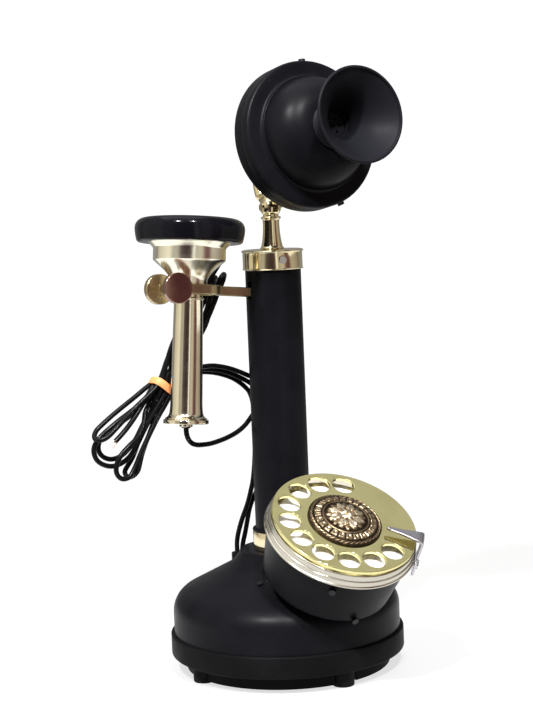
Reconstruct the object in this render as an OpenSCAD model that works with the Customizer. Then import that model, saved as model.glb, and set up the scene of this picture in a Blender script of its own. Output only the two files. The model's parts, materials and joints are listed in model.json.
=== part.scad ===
// Candlestick telephone with a rotary dial, a hook-hung receiver and a tilting transmitter.
// Millimetres, +Z up. The origin is on the table under the column's axis, and the dial faces -Y.

/* [Base] */
// Diameter of the rim band at the foot of the base
base_d = 122; // [110:1:140]
// Height of the rim band's lower edge above the table
rim_z = 8.8; // [7:0.1:11]
// Height of the rim band
rim_h = 11.2; // [8:0.1:14]
// Thickness of the pressed base shell
shell_t = 2; // [1.5:0.1:3]

/* [Column] */
// Diameter of the column tube
column_d = 28.8; // [24:0.1:34]
// Height of the top of the column's brass collar
column_top = 217.8; // [190:0.1:240]
// Height of the swivel ball's centre
ball_z = 239.4; // [230:0.1:250]

/* [Hook and receiver] */
// Height of the hook's pivot pin
pivot_z = 195; // [185:0.5:200]
// Upward slope of the hook arm at rest
arm_slope = 6; // [4:0.5:8]
// Twist of the fork about the arm
fork_twist = 3.5; // [0:0.5:5]
// Distance from the pivot to the receiver's axis, along the arm
receiver_out = 49.4; // [46:0.2:54]
// Diameter of the receiver's ear cap
cap_d = 55.4; // [50:0.2:60]

/* [Transmitter] */
// Upward tilt of the transmitter at rest
tilt = 9; // [0:1:15]
// Diameter of the transmitter case
case_d = 73; // [66:0.5:78]
// Diameter of the mouthpiece rim
mouth_d = 46.6; // [40:0.2:52]

/* [Dial] */
// Diameter of the finger wheel
wheel_d = 73.6; // [70:0.2:76]
// Tilt of the dial from the horizontal
dial_tilt = 31.7; // [25:0.1:40]
// Number of finger holes
holes = 10; // [10:1:10]
// Angle between neighbouring finger holes
hole_step = 26.2; // [25.5:0.1:27]

/* [Cords] */
// Diameter of the telephone cords
cord_d = 2.6; // [2.2:0.1:3]

/* [Hidden] */
$fn = 96;

gap = 0.3;          // clearance between pieces that move past each other
fit = 0.05;         // radial running clearance of pins and shafts
base_r = base_d / 2;
rim_top = rim_z + rim_h;
wall_r = base_r - 1.8;
column_r = column_d / 2;
wheel_r = wheel_d / 2;
case_r = case_d / 2;
mouth_r = mouth_d / 2;
cap_r = cap_d / 2;

// Dome: a wall, a convex shoulder, a straight slope and a concave sweep up to the neck.
shoulder_r = 13.2;
shoulder_z = 30.8;
slope = 63;         // end of the shoulder arc, and so the tilt of the slope's normal
sweep_r = 19;
slope_run = 23;     // length of the straight slope
neck_end = 205;     // last angle of the sweep
sweep_x = wall_r - shoulder_r + (shoulder_r + sweep_r) * cos(slope) - slope_run * sin(slope);
sweep_z = shoulder_z + (shoulder_r + sweep_r) * sin(slope) + slope_run * cos(slope);
neck_z = sweep_z + sweep_r * sin(neck_end);
neck_under = neck_z - 4;
inner_end = 213;    // last angle of the sweep's inner face
pedestal_h = 16;    // depth of the dial's pedestal, part of it inside the dome
pedestal_y = 7;     // shift of the pedestal up the dial, towards the column
gland_x = -10.2;    // place of the cord gland in the dome's back
gland_y = 30;
gland_r = 4.4;
bore_r = 10.1;      // neck bore round the column's spigot
spigot_r = 10;

foot_ring = 51;     // radius of the circle of feet
foot_turn = 2;      // turn of that circle
foot_r = 5.8;
cover_r = 53.3;
cover_z = 1.5;      // underside of the bottom cover
cover_t = 1.5;
flange_r = 44;      // inner radius of the rim's flange
flange_t = 2;
screw_ring = 46;

// Column
tube_t = 1.6;
collar_low_r = 16;
collar_low_z = neck_z;
collar_low_h = 10.2;
tube_z = collar_low_z + collar_low_h;
collar_r = 15.5;
collar_h = 10.2;
collar_z = column_top - collar_h;
tube_top = column_top - 2.1;
ball_r = 5.5;
ball_flat = 4.8;    // flats on the ball under the pin's heads
post_r = 6.2;
slot_w = 3.2;       // slot across the swivel ball
tongue_t = 3;
pin_r = 1.2;
axis_z = 267.7;     // height at which the transmitter's axis crosses the column's axis
set_screw_angle = 259;

// Hook
arm_w = 3;
arm_h = 4.9;
prong_y = 9.6;      // centre of each prong from the receiver's axis
disc_y = 10.3;      // centre of each end disc from the same axis
u_x = 43.7;         // centre of the fork's U bend, from the pivot
disc_x = 60.9;      // centre of the end discs
disc_r = 7.7;
disc_t = 3.6;
ledge_r = 9.2;      // ledge round the receiver, which rests on the prongs
hook_pin_r = 1.5;
hook_pin_h = 27;    // length of the pin, whose ends stay inside the tube's wall
hook_hub_r = 4;
tail_x = 9;         // length of the arm's tail past the pivot

// Dial, seen along its own axis with its zero on the finger wheel's upper face
dial_y = -60.5;
dial_z = 85.1;
wheel_t = 1.8;
hole_ring = 28.5;
hole_r = 5.7;
first_hole = 62;
stop_angle = -36.5;
plate_z = -6.6;
bezel_low = -9.6;
drum_low = -37.4;
drum_top_r = 37;
drum_low_r = 32.9;
drum_t = 1.8;
gear_r = 15;
gear_teeth = 60;
pinion_teeth = 10;
pinion_r = 3;
governor_x = 18.6;  // distance from the dial's axis to the governor's
shaft_r = 2.5;

// Cord routes, as points chosen by hand along each centre line
receiver_route = [[-56.2, -4.2, 132], [-56.2, -4.2, 128.8], [-55.2, -3.8, 125.8], [-52.8, -2.6, 123.2],
    [-49, -0.6, 121.6], [-44, 2, 120.8], [-37, 5.4, 120.4], [-27, 10.4, 121], [-18, 14.6, 122.6],
    [-12, 17.2, 124.8], [-8, 18.6, 127.4], [-4.8, 19.2, 130.4], [-1.6, 19.6, 132.6], [2.2, 20, 132.6],
    [5.2, 20.5, 130.4], [6.6, 20.9, 127], [7, 21.5, 121], [6, 22.4, 110], [3.4, 23.6, 99], [0.2, 24.6, 91],
    [-3.2, 25.6, 84.4], [-4.8, 26.8, 79.2], [-5.6, 28, 73.6], [-6.8, 29.2, 66], [-8, 29.9, 60.6],
    [-8.6, 30, 56], [-8.6, 30, 50]];
line_route = [[-11.8, 30, 50], [-11.8, 30, 56], [-11.8, 29.8, 61], [-11.4, 29.2, 65], [-10.4, 28.2, 70],
    [-9.1, 27, 75], [-7.6, 25.8, 79.6], [-6.4, 24.8, 84], [-5.4, 23.8, 89], [-4.4, 23, 94],
    [-3.2, 23, 101], [-2.2, 23.2, 110], [-1.6, 23.4, 120], [-1.6, 23.4, 129], [-2.4, 23, 136.6],
    [-4.2, 22.6, 141.8], [-6.6, 22.4, 144.8], [-9.8, 22.4, 147.6], [-14.4, 22.3, 150.6],
    [-20.2, 22.2, 153], [-26, 22, 154.6], [-32, 22, 155.4], [-38, 21.6, 155.2], [-45, 20, 154.6],
    [-52, 17.4, 153.9]];
loop_route = [[-50, 13.8, 154], [-46, 14.6, 156.2], [-40, 15.6, 158.2], [-34.4, 16.4, 158.8],
    [-29, 16.6, 158.8], [-24.2, 16.6, 158], [-18.6, 16.6, 156.4], [-12.6, 16.6, 154], [-7, 16.6, 151.4],
    [-2, 16.8, 150.2], [2.6, 17.2, 150], [6.8, 17.6, 149.8], [10.4, 17.9, 148.4], [12.4, 18.2, 145.2],
    [11.8, 18.5, 141.4], [8.8, 18.8, 138.8], [5, 19.1, 138.8], [1.8, 19.3, 141], [-1.4, 19.4, 144],
    [-5.2, 19.4, 147.2], [-9.6, 19.4, 149.9], [-14.4, 19.4, 152.3], [-20, 19.4, 154.7],
    [-26, 19.4, 156.3], [-33, 19.3, 157.2], [-40, 19, 157.8], [-47, 18.4, 158.2], [-54, 17.2, 157.6]];
hank_y = 12.2;      // front face of the tied hank, and its thickness
hank_t = 11.4;
hank_top = [-22, 211];
hank_mid = [-40, 183];
hank_waist = [-60, 152];

// Frames
module at_arm() { translate([0, 0, pivot_z]) rotate([0, arm_slope, 0]) children(); }
module at_fork() { at_arm() rotate([-fork_twist, 0, 0]) children(); }
module at_receiver() { at_fork() translate([-receiver_out, 0, 0]) children(); }
module at_case() { translate([0, 0, axis_z]) rotate([90 - tilt, 0, 0]) children(); }
module at_dial() { translate([0, dial_y, dial_z]) rotate([dial_tilt, 0, 0]) children(); }
module round_about(angles, r) { for (a = angles) rotate([0, 0, a]) translate([r, 0, 0]) children(); }

// Shape helpers
function arc(c, r, a0, a1, n = 12) =
    [for (i = [0:n]) let (a = a0 + (a1 - a0) * i / n) c + r * [cos(a), sin(a)]];
function reversed(p) = [for (i = [len(p) - 1:-1:0]) p[i]];
function unit(v) = v / norm(v);
module spin(points) { rotate_extrude() polygon(points); }
module ring(r_out, r_in, h) {
    difference() {
        cylinder(r = r_out, h = h);
        translate([0, 0, -1]) cylinder(r = r_in, h = h + 2);
    }
}
module screw(head_r, head_h, shank_r, length) {
    cylinder(r = head_r, h = head_h);
    translate([0, 0, -length]) cylinder(r = shank_r, h = length + 0.1);
}

// Tube swept along a route, one ring at each point, kept upright by a fixed side vector.
module tube(route, d, sides = 8) {
    n = len(route);
    rings = [for (i = [0:n - 1]) let (
        along = unit(route[min(i + 1, n - 1)] - route[max(i - 1, 0)]),
        side = unit(cross(along, abs(along[1]) < 0.9 ? [0, 1, 0] : [1, 0, 0])),
        over = cross(along, side))
        [for (k = [0:sides - 1]) let (turn = 360 * k / sides)
            route[i] + d / 2 * (side * cos(turn) + over * sin(turn))]];
    points = [for (r = rings) each r];
    sides_faces = [for (i = [0:n - 2], k = [0:sides - 1]) let (a = i * sides, b = (k + 1) % sides)
        [a + k, a + b, a + sides + b, a + sides + k]];
    ends = [[for (k = [sides - 1:-1:0]) k], [for (k = [0:sides - 1]) (n - 1) * sides + k]];
    polyhedron(points, concat(sides_faces, ends), convexity = 6);
}

// ---- Base ----
function dome(o, last) = concat(
    [[wall_r - o, rim_z + flange_t]],
    arc([wall_r - shoulder_r, shoulder_z], shoulder_r - o, 0, slope, 10),
    arc([sweep_x, sweep_z], sweep_r + o, 180 + slope, last, 8));

// Ring cast on the dome's front slope, which carries the dial's drum.
module at_pedestal() { at_dial() translate([0, pedestal_y, drum_low]) children(); }
module lower_screw_places() { at_pedestal() round_about([30, 150, 270], 17.5) children(); }
module dial_pedestal() {
    difference() {
        at_pedestal() translate([0, 0, -0.05 - pedestal_h]) cylinder(r1 = 29, r2 = 21.5, h = pedestal_h);
        at_pedestal() translate([0, 0, -1 - pedestal_h]) cylinder(r = 13, h = pedestal_h + 2);
        spin(concat([[0, 0], [wall_r - 1, 0]], dome(1, neck_end), [[0, neck_z]]));
        column_clearance(collar_low_r + 0.1);
    }
}
module dome_screw_places() {
    for (a = [219, 321]) rotate([0, 0, a]) translate([36, 0, 50.7]) rotate([0, 90 - slope, 0]) children();
}

module base_shell() {
    color("#1c1d22") difference() {
        union() {
            spin(concat(dome(0, neck_end), [[21.6, neck_z], [bore_r, neck_z], [bore_r, neck_under]],
                [[sweep_x + (sweep_r + shell_t) * cos(inner_end), neck_under]],
                reversed(dome(shell_t, inner_end))));
            dial_pedestal();
        }
        translate([gland_x, gland_y, 40]) cylinder(r = gland_r + 0.05, h = 30);
        dome_screw_places() cylinder(r = 1.15, h = 12, center = true);
        lower_screw_places() translate([0, 0, -8]) cylinder(r = 1.25, h = 9);
    }
}

module base_rim() {
    color("#17181c") difference() {
        spin([[flange_r, rim_z], [base_r - 0.7, rim_z], [base_r, rim_z + 0.7], [base_r, rim_top - 0.7],
            [base_r - 0.7, rim_top], [wall_r + 0.1, rim_top], [wall_r + 0.1, rim_z + flange_t],
            [flange_r, rim_z + flange_t]]);
        feet_places() translate([0, 0, rim_z - 1]) cylinder(r = 1.75, h = 5);
        cover_screw_places() translate([0, 0, rim_z - 1]) cylinder(r = 1.35, h = 5);
        board_screw_places() translate([0, 0, rim_z - 1]) cylinder(r = 1.35, h = 5);
    }
}

module bottom_cover() {
    color("#141417") difference() {
        translate([0, 0, cover_z]) cylinder(r = cover_r, h = rim_z - cover_z);
        difference() {
            translate([0, 0, cover_z + cover_t]) cylinder(r = cover_r - cover_t, h = rim_z);
            feet_places() cylinder(r = foot_r + 2.2, h = 30, center = true);
            cover_screw_places() cylinder(r = 3.2, h = 30, center = true);
        }
        feet_places() cylinder(r = foot_r + 0.7, h = 30, center = true);
        cover_screw_places() {
            cylinder(r = 1.35, h = 30, center = true);
            cylinder(r = 2.3, h = 2 * (cover_z + 1.5), center = true);
        }
    }
}

module feet_places() { rotate([0, 0, foot_turn]) round_about([0:90:270], foot_ring) children(); }
module cover_screw_places() { rotate([0, 0, 45]) round_about([0:90:270], screw_ring) children(); }
module board_screw_places() { for (x = [-39.5, 39.5]) translate([x, 23, 0]) children(); }

module rubber_feet() {
    color("#121214") feet_places() spin([[1.75, 3.5], [3.1, 3.5], [3.1, 0], [foot_r - 0.6, 0],
        [foot_r - 0.2, 0.4], [foot_r, rim_z], [1.75, rim_z]]);
}

module foot_screws() {
    color("silver") feet_places() translate([0, 0, 3.5]) rotate([180, 0, 0]) screw(2.9, 1.6, 1.65, 9.6);
}

module cover_screws() {
    color("silver") cover_screw_places()
        translate([0, 0, cover_z + 1.5]) rotate([180, 0, 0]) screw(2.2, 1.2, 1.25, 8);
}

// Low slab inside the base, held on the rim's flange by two screws.
board_z = rim_z + flange_t + 0.2;
module circuit_board() {
    color("#2f5d3a") difference() {
        translate([-42, -6, board_z]) cube([84, 34, 1.6]);
        board_screw_places() translate([0, 0, board_z - 1]) cylinder(r = 1.35, h = 4);
    }
}

module board_screws() {
    color("silver") board_screw_places() translate([0, 0, board_z + 1.6]) screw(2.3, 1.3, 1.3, 3.7);
}

module sounder() {
    color("#222222") translate([22, 8, board_z + 1.6]) ring(11, 1.2, 8);
}

module terminal_block() {
    color("#d8d2c0") translate([-30, 0, board_z + 1.6]) cube([22, 12, 9]);
    color("#b9a05a") for (i = [0:3]) translate([-27 + 5.4 * i, 6, board_z + 10.6]) screw(1.9, 1, 1.2, 5);
}

module cord_gland() {
    color("#101012") difference() {
        translate([gland_x, gland_y, 46]) cylinder(r = gland_r, h = 9.5);
        for (x = [-1.6, 1.6]) translate([gland_x + x, gland_y, 50]) cylinder(r = cord_d / 2 + 0.05, h = 6);
    }
}

// ---- Column ----
module column_tube() {
    color("#1b1c20") difference() {
        spin([[8, neck_under - 8], [spigot_r, neck_under - 8], [spigot_r, tube_z],
            [collar_low_r, tube_z], [collar_low_r + 0.1, tube_z + 0.4],
            [collar_low_r - 0.2, tube_z + 0.9], [column_r, tube_z + 1.3],
            [column_r, tube_top], [column_r - tube_t, tube_top], [column_r - tube_t, tube_z + 3],
            [8, tube_z + 3]]);
        translate([-column_r - 1, -2, pivot_z - 2]) cube([4, 4, 9]);
        translate([0, 0, pivot_z]) rotate([90, 0, 0])
            cylinder(r = hook_pin_r + 0.02, h = hook_pin_h + 0.1, center = true);
        set_screw_place(10) cylinder(r = 1.25, h = 8);
    }
}

module lower_collar() {
    color("#d8c98a") translate([0, 0, collar_low_z]) ring(collar_low_r, bore_r, collar_low_h);
}

module column_nut() {
    color("silver") translate([0, 0, neck_under - 5]) difference() {
        cylinder(r = 16, h = 5, $fn = 6);
        translate([0, 0, -1]) cylinder(r = bore_r, h = 7);
    }
}

module top_collar() {
    color("#d8c98a") difference() {
        translate([0, 0, collar_z]) spin([[column_r + 0.05, 0], [collar_r + 0.1, 0], [collar_r, 0.5],
            [collar_r, collar_h - 1.1], [collar_r + 0.5, collar_h - 0.8], [collar_r + 0.5, collar_h - 0.3],
            [collar_r + 0.2, collar_h], [4.05, collar_h], [4.05, collar_h - 2],
            [column_r + 0.05, collar_h - 2]]);
        set_screw_place(10) cylinder(r = 1.25, h = 8);
    }
}

module set_screw_place(r) {
    rotate([0, 0, set_screw_angle]) translate([r, 0, collar_z + 5]) rotate([0, 90, 0]) children();
}

module collar_screw() {
    color("silver") set_screw_place(collar_r) screw(1.9, 0.9, 1.2, 3.6);
}

module swivel_post() {
    waist = 4.2;
    color("#d8c98a") difference() {
        union() {
            translate([0, 0, column_top]) spin(concat(
                [[0, -8], [4, -8], [4, 0], [post_r - 0.4, 0], [post_r, 0.5]],
                arc([post_r + 21.6, 19], 23.8, 220.5, 184, 8),
                [[waist + 0.5, 16.6], [waist + 0.6, 17.3], [waist, 17.8], [0, 17.8]]));
            translate([0, 0, ball_z]) sphere(r = ball_r);
        }
        translate([-slot_w / 2, -10, ball_z - 2.7]) cube([slot_w, 20, 12]);
        for (s = [-1, 1]) translate([s * (ball_flat + 5), 0, ball_z]) cube([10, 12, 8], center = true);
        translate([0, 0, ball_z]) rotate([0, 90, 0]) cylinder(r = pin_r + fit / 2, h = 20, center = true);
    }
}

module post_nut() {
    color("silver") translate([0, 0, column_top - 5.2]) difference() {
        cylinder(r = 7.5, h = 3.2, $fn = 6);
        translate([0, 0, -1]) cylinder(r = 4.05, h = 6);
    }
}

module tilt_pin() {
    color("#b9a05a") translate([0, 0, ball_z]) rotate([0, 90, 0]) {
        cylinder(r = pin_r, h = 2 * ball_flat + 1, center = true);
        for (s = [-1, 1]) translate([0, 0, s * (ball_flat + 0.5)]) cylinder(r = 2, h = 0.9, center = true);
    }
}

// ---- Hook ----
module fork_outline(w) {
    for (s = [-1, 1]) translate([-disc_x, s * prong_y - w / 2]) square([disc_x - u_x, w]);
    translate([-u_x, 0]) difference() {
        circle(r = prong_y + w / 2);
        circle(r = prong_y - w / 2);
        translate([-40, -20]) square([40, 40]);
    }
}

module hook_fork() {
    joined = u_x - prong_y;
    color("#b9a45e") difference() {
        union() {
            at_arm() translate([-joined, -arm_w / 2, -arm_h / 2]) cube([joined + tail_x, arm_w, arm_h]);
            at_arm() rotate([90, 0, 0]) cylinder(r = hook_hub_r, h = arm_w + 1, center = true);
            at_fork() translate([0, 0, -arm_h / 2]) linear_extrude(arm_h) fork_outline(arm_w);
            at_fork() for (s = [-1, 1]) translate([-disc_x, s * disc_y, 0]) rotate([90, 0, 0])
                cylinder(r = disc_r, h = disc_t, center = true);
        }
        at_arm() rotate([90, 0, 0]) cylinder(r = hook_pin_r + fit, h = 20, center = true);
    }
}

module hook_pin() {
    color("silver") translate([0, 0, pivot_z]) rotate([90, 0, 0])
        cylinder(r = hook_pin_r, h = hook_pin_h, center = true);
}

module hook_spring() {
    color("silver") translate([0, 7.5, pivot_z]) rotate([90, 0, 0]) ring(3.4, hook_pin_r + 0.2, 4.5);
}

module hook_switch() {
    color("#7a4a2a") translate([2, -5, pivot_z - 24]) cube([9, 10, 14]);
    color("#b9a05a") for (x = [3.4, 6.2, 9]) translate([x, -2, pivot_z - 10.1]) cube([0.5, 4, 4.4]);
}

// ---- Receiver ----
module receiver_tube() {
    color("#d8cfa8") at_receiver() spin([[5.6, -65], [10.6, -65], [9, -63.6], [8.2, -61.4], [8, -58],
        [7.25, -5], [7.6, -4.6], [7.6, -3.8], [7.05, -3.4], [7.05, arm_h / 2 + 0.1],
        [ledge_r, arm_h / 2 + 0.1], [ledge_r, 3.6], [5.6, 3.6]]);
}

module receiver_cup() {
    color("#dcd3ac") at_receiver() spin([[8, 3.6], [ledge_r, 3.6], [9.6, 5.4], [10.6, 7.4], [13, 9.8],
        [18.3, 14.6], [18.3, 20.4], [20.9, 23.4], [20.9, 24.6], [19, 24.6], [16.8, 21], [16.8, 15.2],
        [12, 10.8], [9, 8], [8, 5.6]]);
}

module ear_cap() {
    sound_hole = 4;
    color("#101116") at_receiver() difference() {
        spin(concat([[21.1, 23.6], [cap_r - 1.6, 23.6], [cap_r - 1.3, 24.2]],
            arc([cap_r - 5.4, 30], 5.4, 0, 86, 8), [[12, 35.2], [sound_hole, 33.4], [sound_hole, 31.8],
            [16, 32.6], [21.1, 31.8]]));
    }
}

module earphone() {
    color("#55585e") at_receiver() translate([0, 0, 16]) cylinder(r = 15.8, h = 4);
    color("#77797f") at_receiver() translate([0, 0, 20]) ring(15.8, 3, 10);
}

module receiver_tail() {
    bore = cord_d / 2 + 0.9;
    color("#d8cfa8") at_receiver() spin([[bore, -69.6], [3.6, -69.6], [3.6, -67.2], [11.2, -67.2],
        [11.4, -66.9], [11.4, -65.4], [11.1, -65], [bore, -65]]);
}

module receiver_cord_relief() {
    thick = cord_d / 2 + 0.8;
    color("#101012") at_receiver() spin([[0, -68], [thick - 0.6, -68], [thick, -66], [thick, -60],
        [0, -60]]);
}

// ---- Transmitter ----
bowl = [[9, 15], [14, 15.8], [20, 17.6], [26, 20.6], [31, 24.4], [34.4, 28.2], [case_r - 0.5, 31.2],
    [case_r, 34]];
module transmitter_back() {
    inner = [for (p = bowl) p + [-1.4, 1.2]];
    color("#1b1c20") at_case() difference() {
        spin(concat([[3.4, 15]], bowl, [[case_r, 38], [case_r - 1.6, 38]], reversed(inner), [[3.4, 16.4]]));
        round_about([90:120:330], 6) translate([0, 0, 10]) cylinder(r = 1.05, h = 10);
        case_screw_places() translate([0, 0, 37.9]) cylinder(r = 1.2, h = 5);
    }
}

case_screw_angles = [88, 292, 10];
module case_screw_places() { round_about(case_screw_angles, case_r) children(); }

dome_foot = 27.6;
dome_s = 46.2;      // place of the dome's foot along the transmitter's axis
module transmitter_face() {
    outside = concat(arc([case_r - 1.4, 43.3], 1.4, 0, 90, 5),
        [[29, 44.7], [28.6, dome_s - 0.5], [28.1, dome_s]],
        [for (a = [0:8:80]) [10 + (dome_foot - 10) * cos(a), dome_s + 17.4 * sin(a)]]);
    inside = concat([[case_r - 1.6, 43]], [[27, 43.2]],
        [for (a = [0:8:72]) [10 + (dome_foot - 12.4) * cos(a), dome_s - 1 + 16.4 * sin(a)]]);
    color("#1b1c20") at_case() difference() {
        spin(concat([[case_r - 1.6, 38], [case_r, 38]], outside,
            [[9.7, dome_s + 17.4], [9.7, dome_s + 13]], reversed(inside)));
        case_screw_places() translate([-2, 0, 40.6]) rotate([0, 90, 0]) cylinder(r = 1.15, h = 6);
    }
}

throat_s = 60;
mouth_s = 88;
horn = [[9.4, 66.4], [9.8, 69], [10.8, 72.4], [12.4, 76], [14.6, 79.6], [17.4, 83], [20.6, 86],
    [mouth_r - 0.5, 87.8]];
module mouthpiece() {
    inner = [for (p = horn) p + [-1.5, 0.2]];
    color("#15161a") at_case() spin(concat([[6.6, throat_s], [9.6, throat_s], [9.6, 63.8], [11.4, 63.8],
        [11.4, 65.4]], horn, [[mouth_r, 88.2], [mouth_r - 0.1, 88.9], [mouth_r - 0.7, 89.1],
            [mouth_r - 1.5, 88.5]],
        reversed(inner), [[6.6, 65.2]]));
}

module mouth_grille() {
    color("#1d1e22") at_case() translate([0, 0, 62.6]) difference() {
        cylinder(r = 6.5, h = 1);
        for (a = [0:60:300]) rotate([0, 0, a]) translate([3.6, 0, -1]) cylinder(r = 0.7, h = 3);
        translate([0, 0, -1]) cylinder(r = 0.7, h = 3);
    }
}

module microphone() {
    color("#8a8c90") at_case() translate([0, 0, 41]) cylinder(r = 17, h = 9);
    color("#3a3b40") at_case() translate([0, 0, 50]) ring(12, 6, 6);
}

module case_screws() {
    color("#111216") at_case() case_screw_places() translate([0, 0, 40.6]) rotate([0, 90, 0])
        screw(1.7, 1.3, 1.1, 3.2);
}

arm_c = [-4, 253.5];
arm_bend = 15;
arm_rod = 3.2;
arm_start = -35;
module tilt_arm() {
    start = arm_c + arm_bend * [cos(arm_start), sin(arm_start)];
    reach = norm(start - [0, ball_z]);
    lean = atan2(start[1] - ball_z, start[0]);
    color("#c9b878") difference() {
        union() {
            translate([-tongue_t / 2, 0, ball_z]) rotate([90, 0, 90]) linear_extrude(tongue_t) {
                circle(r = 2.4);
                rotate([0, 0, lean]) translate([0, -2.4]) square([reach, 4.8]);
            }
            translate([0, arm_c[0], arm_c[1]]) rotate([90, 0, 90]) rotate([0, 0, arm_start])
                rotate_extrude(angle = 90 - arm_start) translate([arm_bend, 0]) circle(r = arm_rod);
            at_case() translate([0, 0, 4]) cylinder(r = arm_rod, h = 10);
            at_case() translate([0, 0, 13]) cylinder(r = 9, h = 2);
        }
        translate([0, 0, ball_z]) rotate([0, 90, 0]) cylinder(r = pin_r + fit, h = 20, center = true);
        at_case() round_about([90:120:330], 6) translate([0, 0, 10]) cylinder(r = 1.05, h = 10);
    }
}

module arm_screws() {
    color("silver") at_case() round_about([90:120:330], 6) translate([0, 0, 13]) rotate([180, 0, 0])
        screw(1.8, 1.2, 1, 5);
}

// ---- Dial ----
module drum_outside(grow = 0) {
    translate([0, 0, drum_low - grow]) cylinder(r1 = drum_low_r + grow, r2 = drum_top_r + grow,
        h = bezel_low - drum_low + grow);
}

module column_clearance(r) { translate([0, 0, 20]) cylinder(r = r, h = 120); }

module dial_housing() {
    saddle = collar_low_r + 0.6;
    color("#1b1c20") difference() {
        union() {
            difference() {
                at_dial() drum_outside();
                at_dial() translate([0, 0, drum_low + drum_t]) cylinder(r1 = drum_low_r - drum_t,
                    r2 = drum_top_r - drum_t, h = bezel_low - drum_low);
            }
            at_dial() stop_screw_place(drum_top_r - 2.2) cylinder(r = 3, h = 4.05);
            intersection() {
                at_dial() drum_outside();
                column_clearance(saddle + drum_t);
            }
        }
        column_clearance(saddle);
        at_dial() side_screw_places(30) cylinder(r = 1.15, h = 12);
        at_dial() edge_screw_place(30) cylinder(r = 1.15, h = 8);
        lower_screw_places() translate([0, 0, -1]) cylinder(r = 1.25, h = 4);
        at_dial() stop_screw_place(30) cylinder(r = 1.25, h = 12);
    }
}

module side_screw_places(r) {
    for (a = [117, 237, 357]) rotate([0, 0, a]) translate([r, 0, -14.6]) rotate([0, 90, 0]) children();
}
module edge_screw_place(r) {
    rotate([0, 0, 265]) translate([r, 0, -34.6]) rotate([0, 90, 0]) children();
}
module stop_screw_place(r) {
    rotate([0, 0, stop_angle]) translate([r, 0, -13.4]) rotate([0, 90, 0]) children();
}

module housing_screws() {
    color("#111216") {
        at_dial() side_screw_places(drum_top_r - 0.4) screw(1.7, 1.4, 1.1, 5);
        at_dial() edge_screw_place(drum_low_r + 0.75) screw(1.7, 1.3, 1.1, 3.5);
        lower_screw_places() translate([0, 0, drum_t]) screw(2.2, 1.2, 1.2, 7);
        dome_screw_places() translate([0, 0, 0.1]) screw(1.6, 0.8, 1.1, 3);
    }
}

module dial_bezel() {
    color("#c8c8cc") at_dial() spin([[drum_top_r - 0.2, bezel_low], [wheel_r + 1.8, bezel_low],
        [wheel_r + 1.8, bezel_low + 0.9], [wheel_r + 1.3, bezel_low + 1.2], [wheel_r + 1.3, -5.8],
        [wheel_r + 0.6, -5.4], [wheel_r + 0.6, -3], [wheel_r + 0.1, -2.5], [wheel_r - 1.4, -2.5],
        [wheel_r - 1.8, plate_z + 1], [33.2, plate_z + 1], [33.2, plate_z], [30, plate_z], [30, -11.3],
        [34.5, -11.3], [34.5, bezel_low]]);
}

module number_plate() { color("#e9e9ec") at_dial() translate([0, 0, plate_z]) ring(33.1, 6, 0.9); }

module finger_stop() {
    foot = wheel_r + 2.1;
    color("#a9a7b2") at_dial() rotate([0, 0, stop_angle]) {
        translate([0, 0, 2.4]) linear_extrude(1.3)
            polygon([[20.8, -0.6], [21.4, 1.2], [30, 2], [foot + 1.3, 4.2], [foot + 1.3, -4.2], [32, -2.2]]);
        translate([foot, -3.4, -9]) cube([1.3, 6.8, 12.7]);
        difference() {
            translate([foot, -5.2, -17]) cube([1.3, 10.4, 8.5]);
            translate([foot - 1, 0, -13.4]) rotate([0, 90, 0]) cylinder(r = 1.25, h = 4);
        }
    }
}

module stop_screw() {
    color("silver") at_dial() stop_screw_place(wheel_r + 3.4) screw(2.3, 1.1, 1.2, 5.9);
}

module dial_frame() {
    color("silver") at_dial() {
        difference() {
            union() {
                translate([0, 0, -12.9]) cylinder(r = 34, h = 1.6);
                translate([0, 0, -19]) ring(33.4, 31, 6.2);
            }
            translate([0, 0, -14]) cylinder(r = 5.02, h = 4);
            translate([governor_x, 0, -14]) cylinder(r = 1.05, h = 4);
            side_screw_places(28) cylinder(r = 1.15, h = 10);
        }
        difference() {
            translate([0, 0, -32]) cylinder(r = 27, h = 1.6);
            translate([0, 0, -33]) cylinder(r = shaft_r + fit, h = 4);
            translate([governor_x, 0, -33]) cylinder(r = 1.05, h = 4);
        }
        round_about([70, 180, 290], 24.6) translate([0, 0, -30.5]) cylinder(r = 1.8, h = 17.7);
    }
}

module dial_bush() { color("#b9a05a") at_dial() translate([0, 0, -15]) ring(5, shaft_r + fit, 10); }

module dial_shaft() {
    color("silver") at_dial() {
        translate([0, 0, -33.4]) cylinder(r = shaft_r, h = 33.4 - wheel_t);
        translate([0, 0, -4.4]) cylinder(r = 6, h = 4.4 - wheel_t);
    }
}

module finger_wheel() {
    color("#c2b356") at_dial() difference() {
        translate([0, 0, -wheel_t]) spin([[0, 0], [wheel_r - 0.5, 0], [wheel_r, 0.5], [wheel_r, 1.3],
            [wheel_r - 0.5, wheel_t], [0, wheel_t]]);
        for (i = [0:holes - 1]) rotate([0, 0, first_hole + hole_step * i]) translate([hole_ring, 0, -5])
            cylinder(r = hole_r, h = 10);
    }
}

medallion_r = 18.7;
module medallion() {
    color("#8d7a5c") at_dial() {
        spin(concat([[0, 0], [medallion_r, 0], [medallion_r, 0.9]],
            [for (i = [1:8]) [medallion_r * (1 - i / 8), 0.9 + 3.2 * sin(90 * i / 8)]]));
        round_about([0:15:345], 15.8) translate([0, 0, 1.2]) cylinder(r = 1.2, h = 1);
    }
}

function gear_points(teeth, r, depth) =
    [for (i = [0:teeth - 1], q = [[0, 0], [0.28, 0], [0.42, 1], [0.86, 1]]) let (
        a = 360 * (i + q[0]) / teeth, d = r - q[1] * depth) d * [cos(a), sin(a)]];

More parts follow.
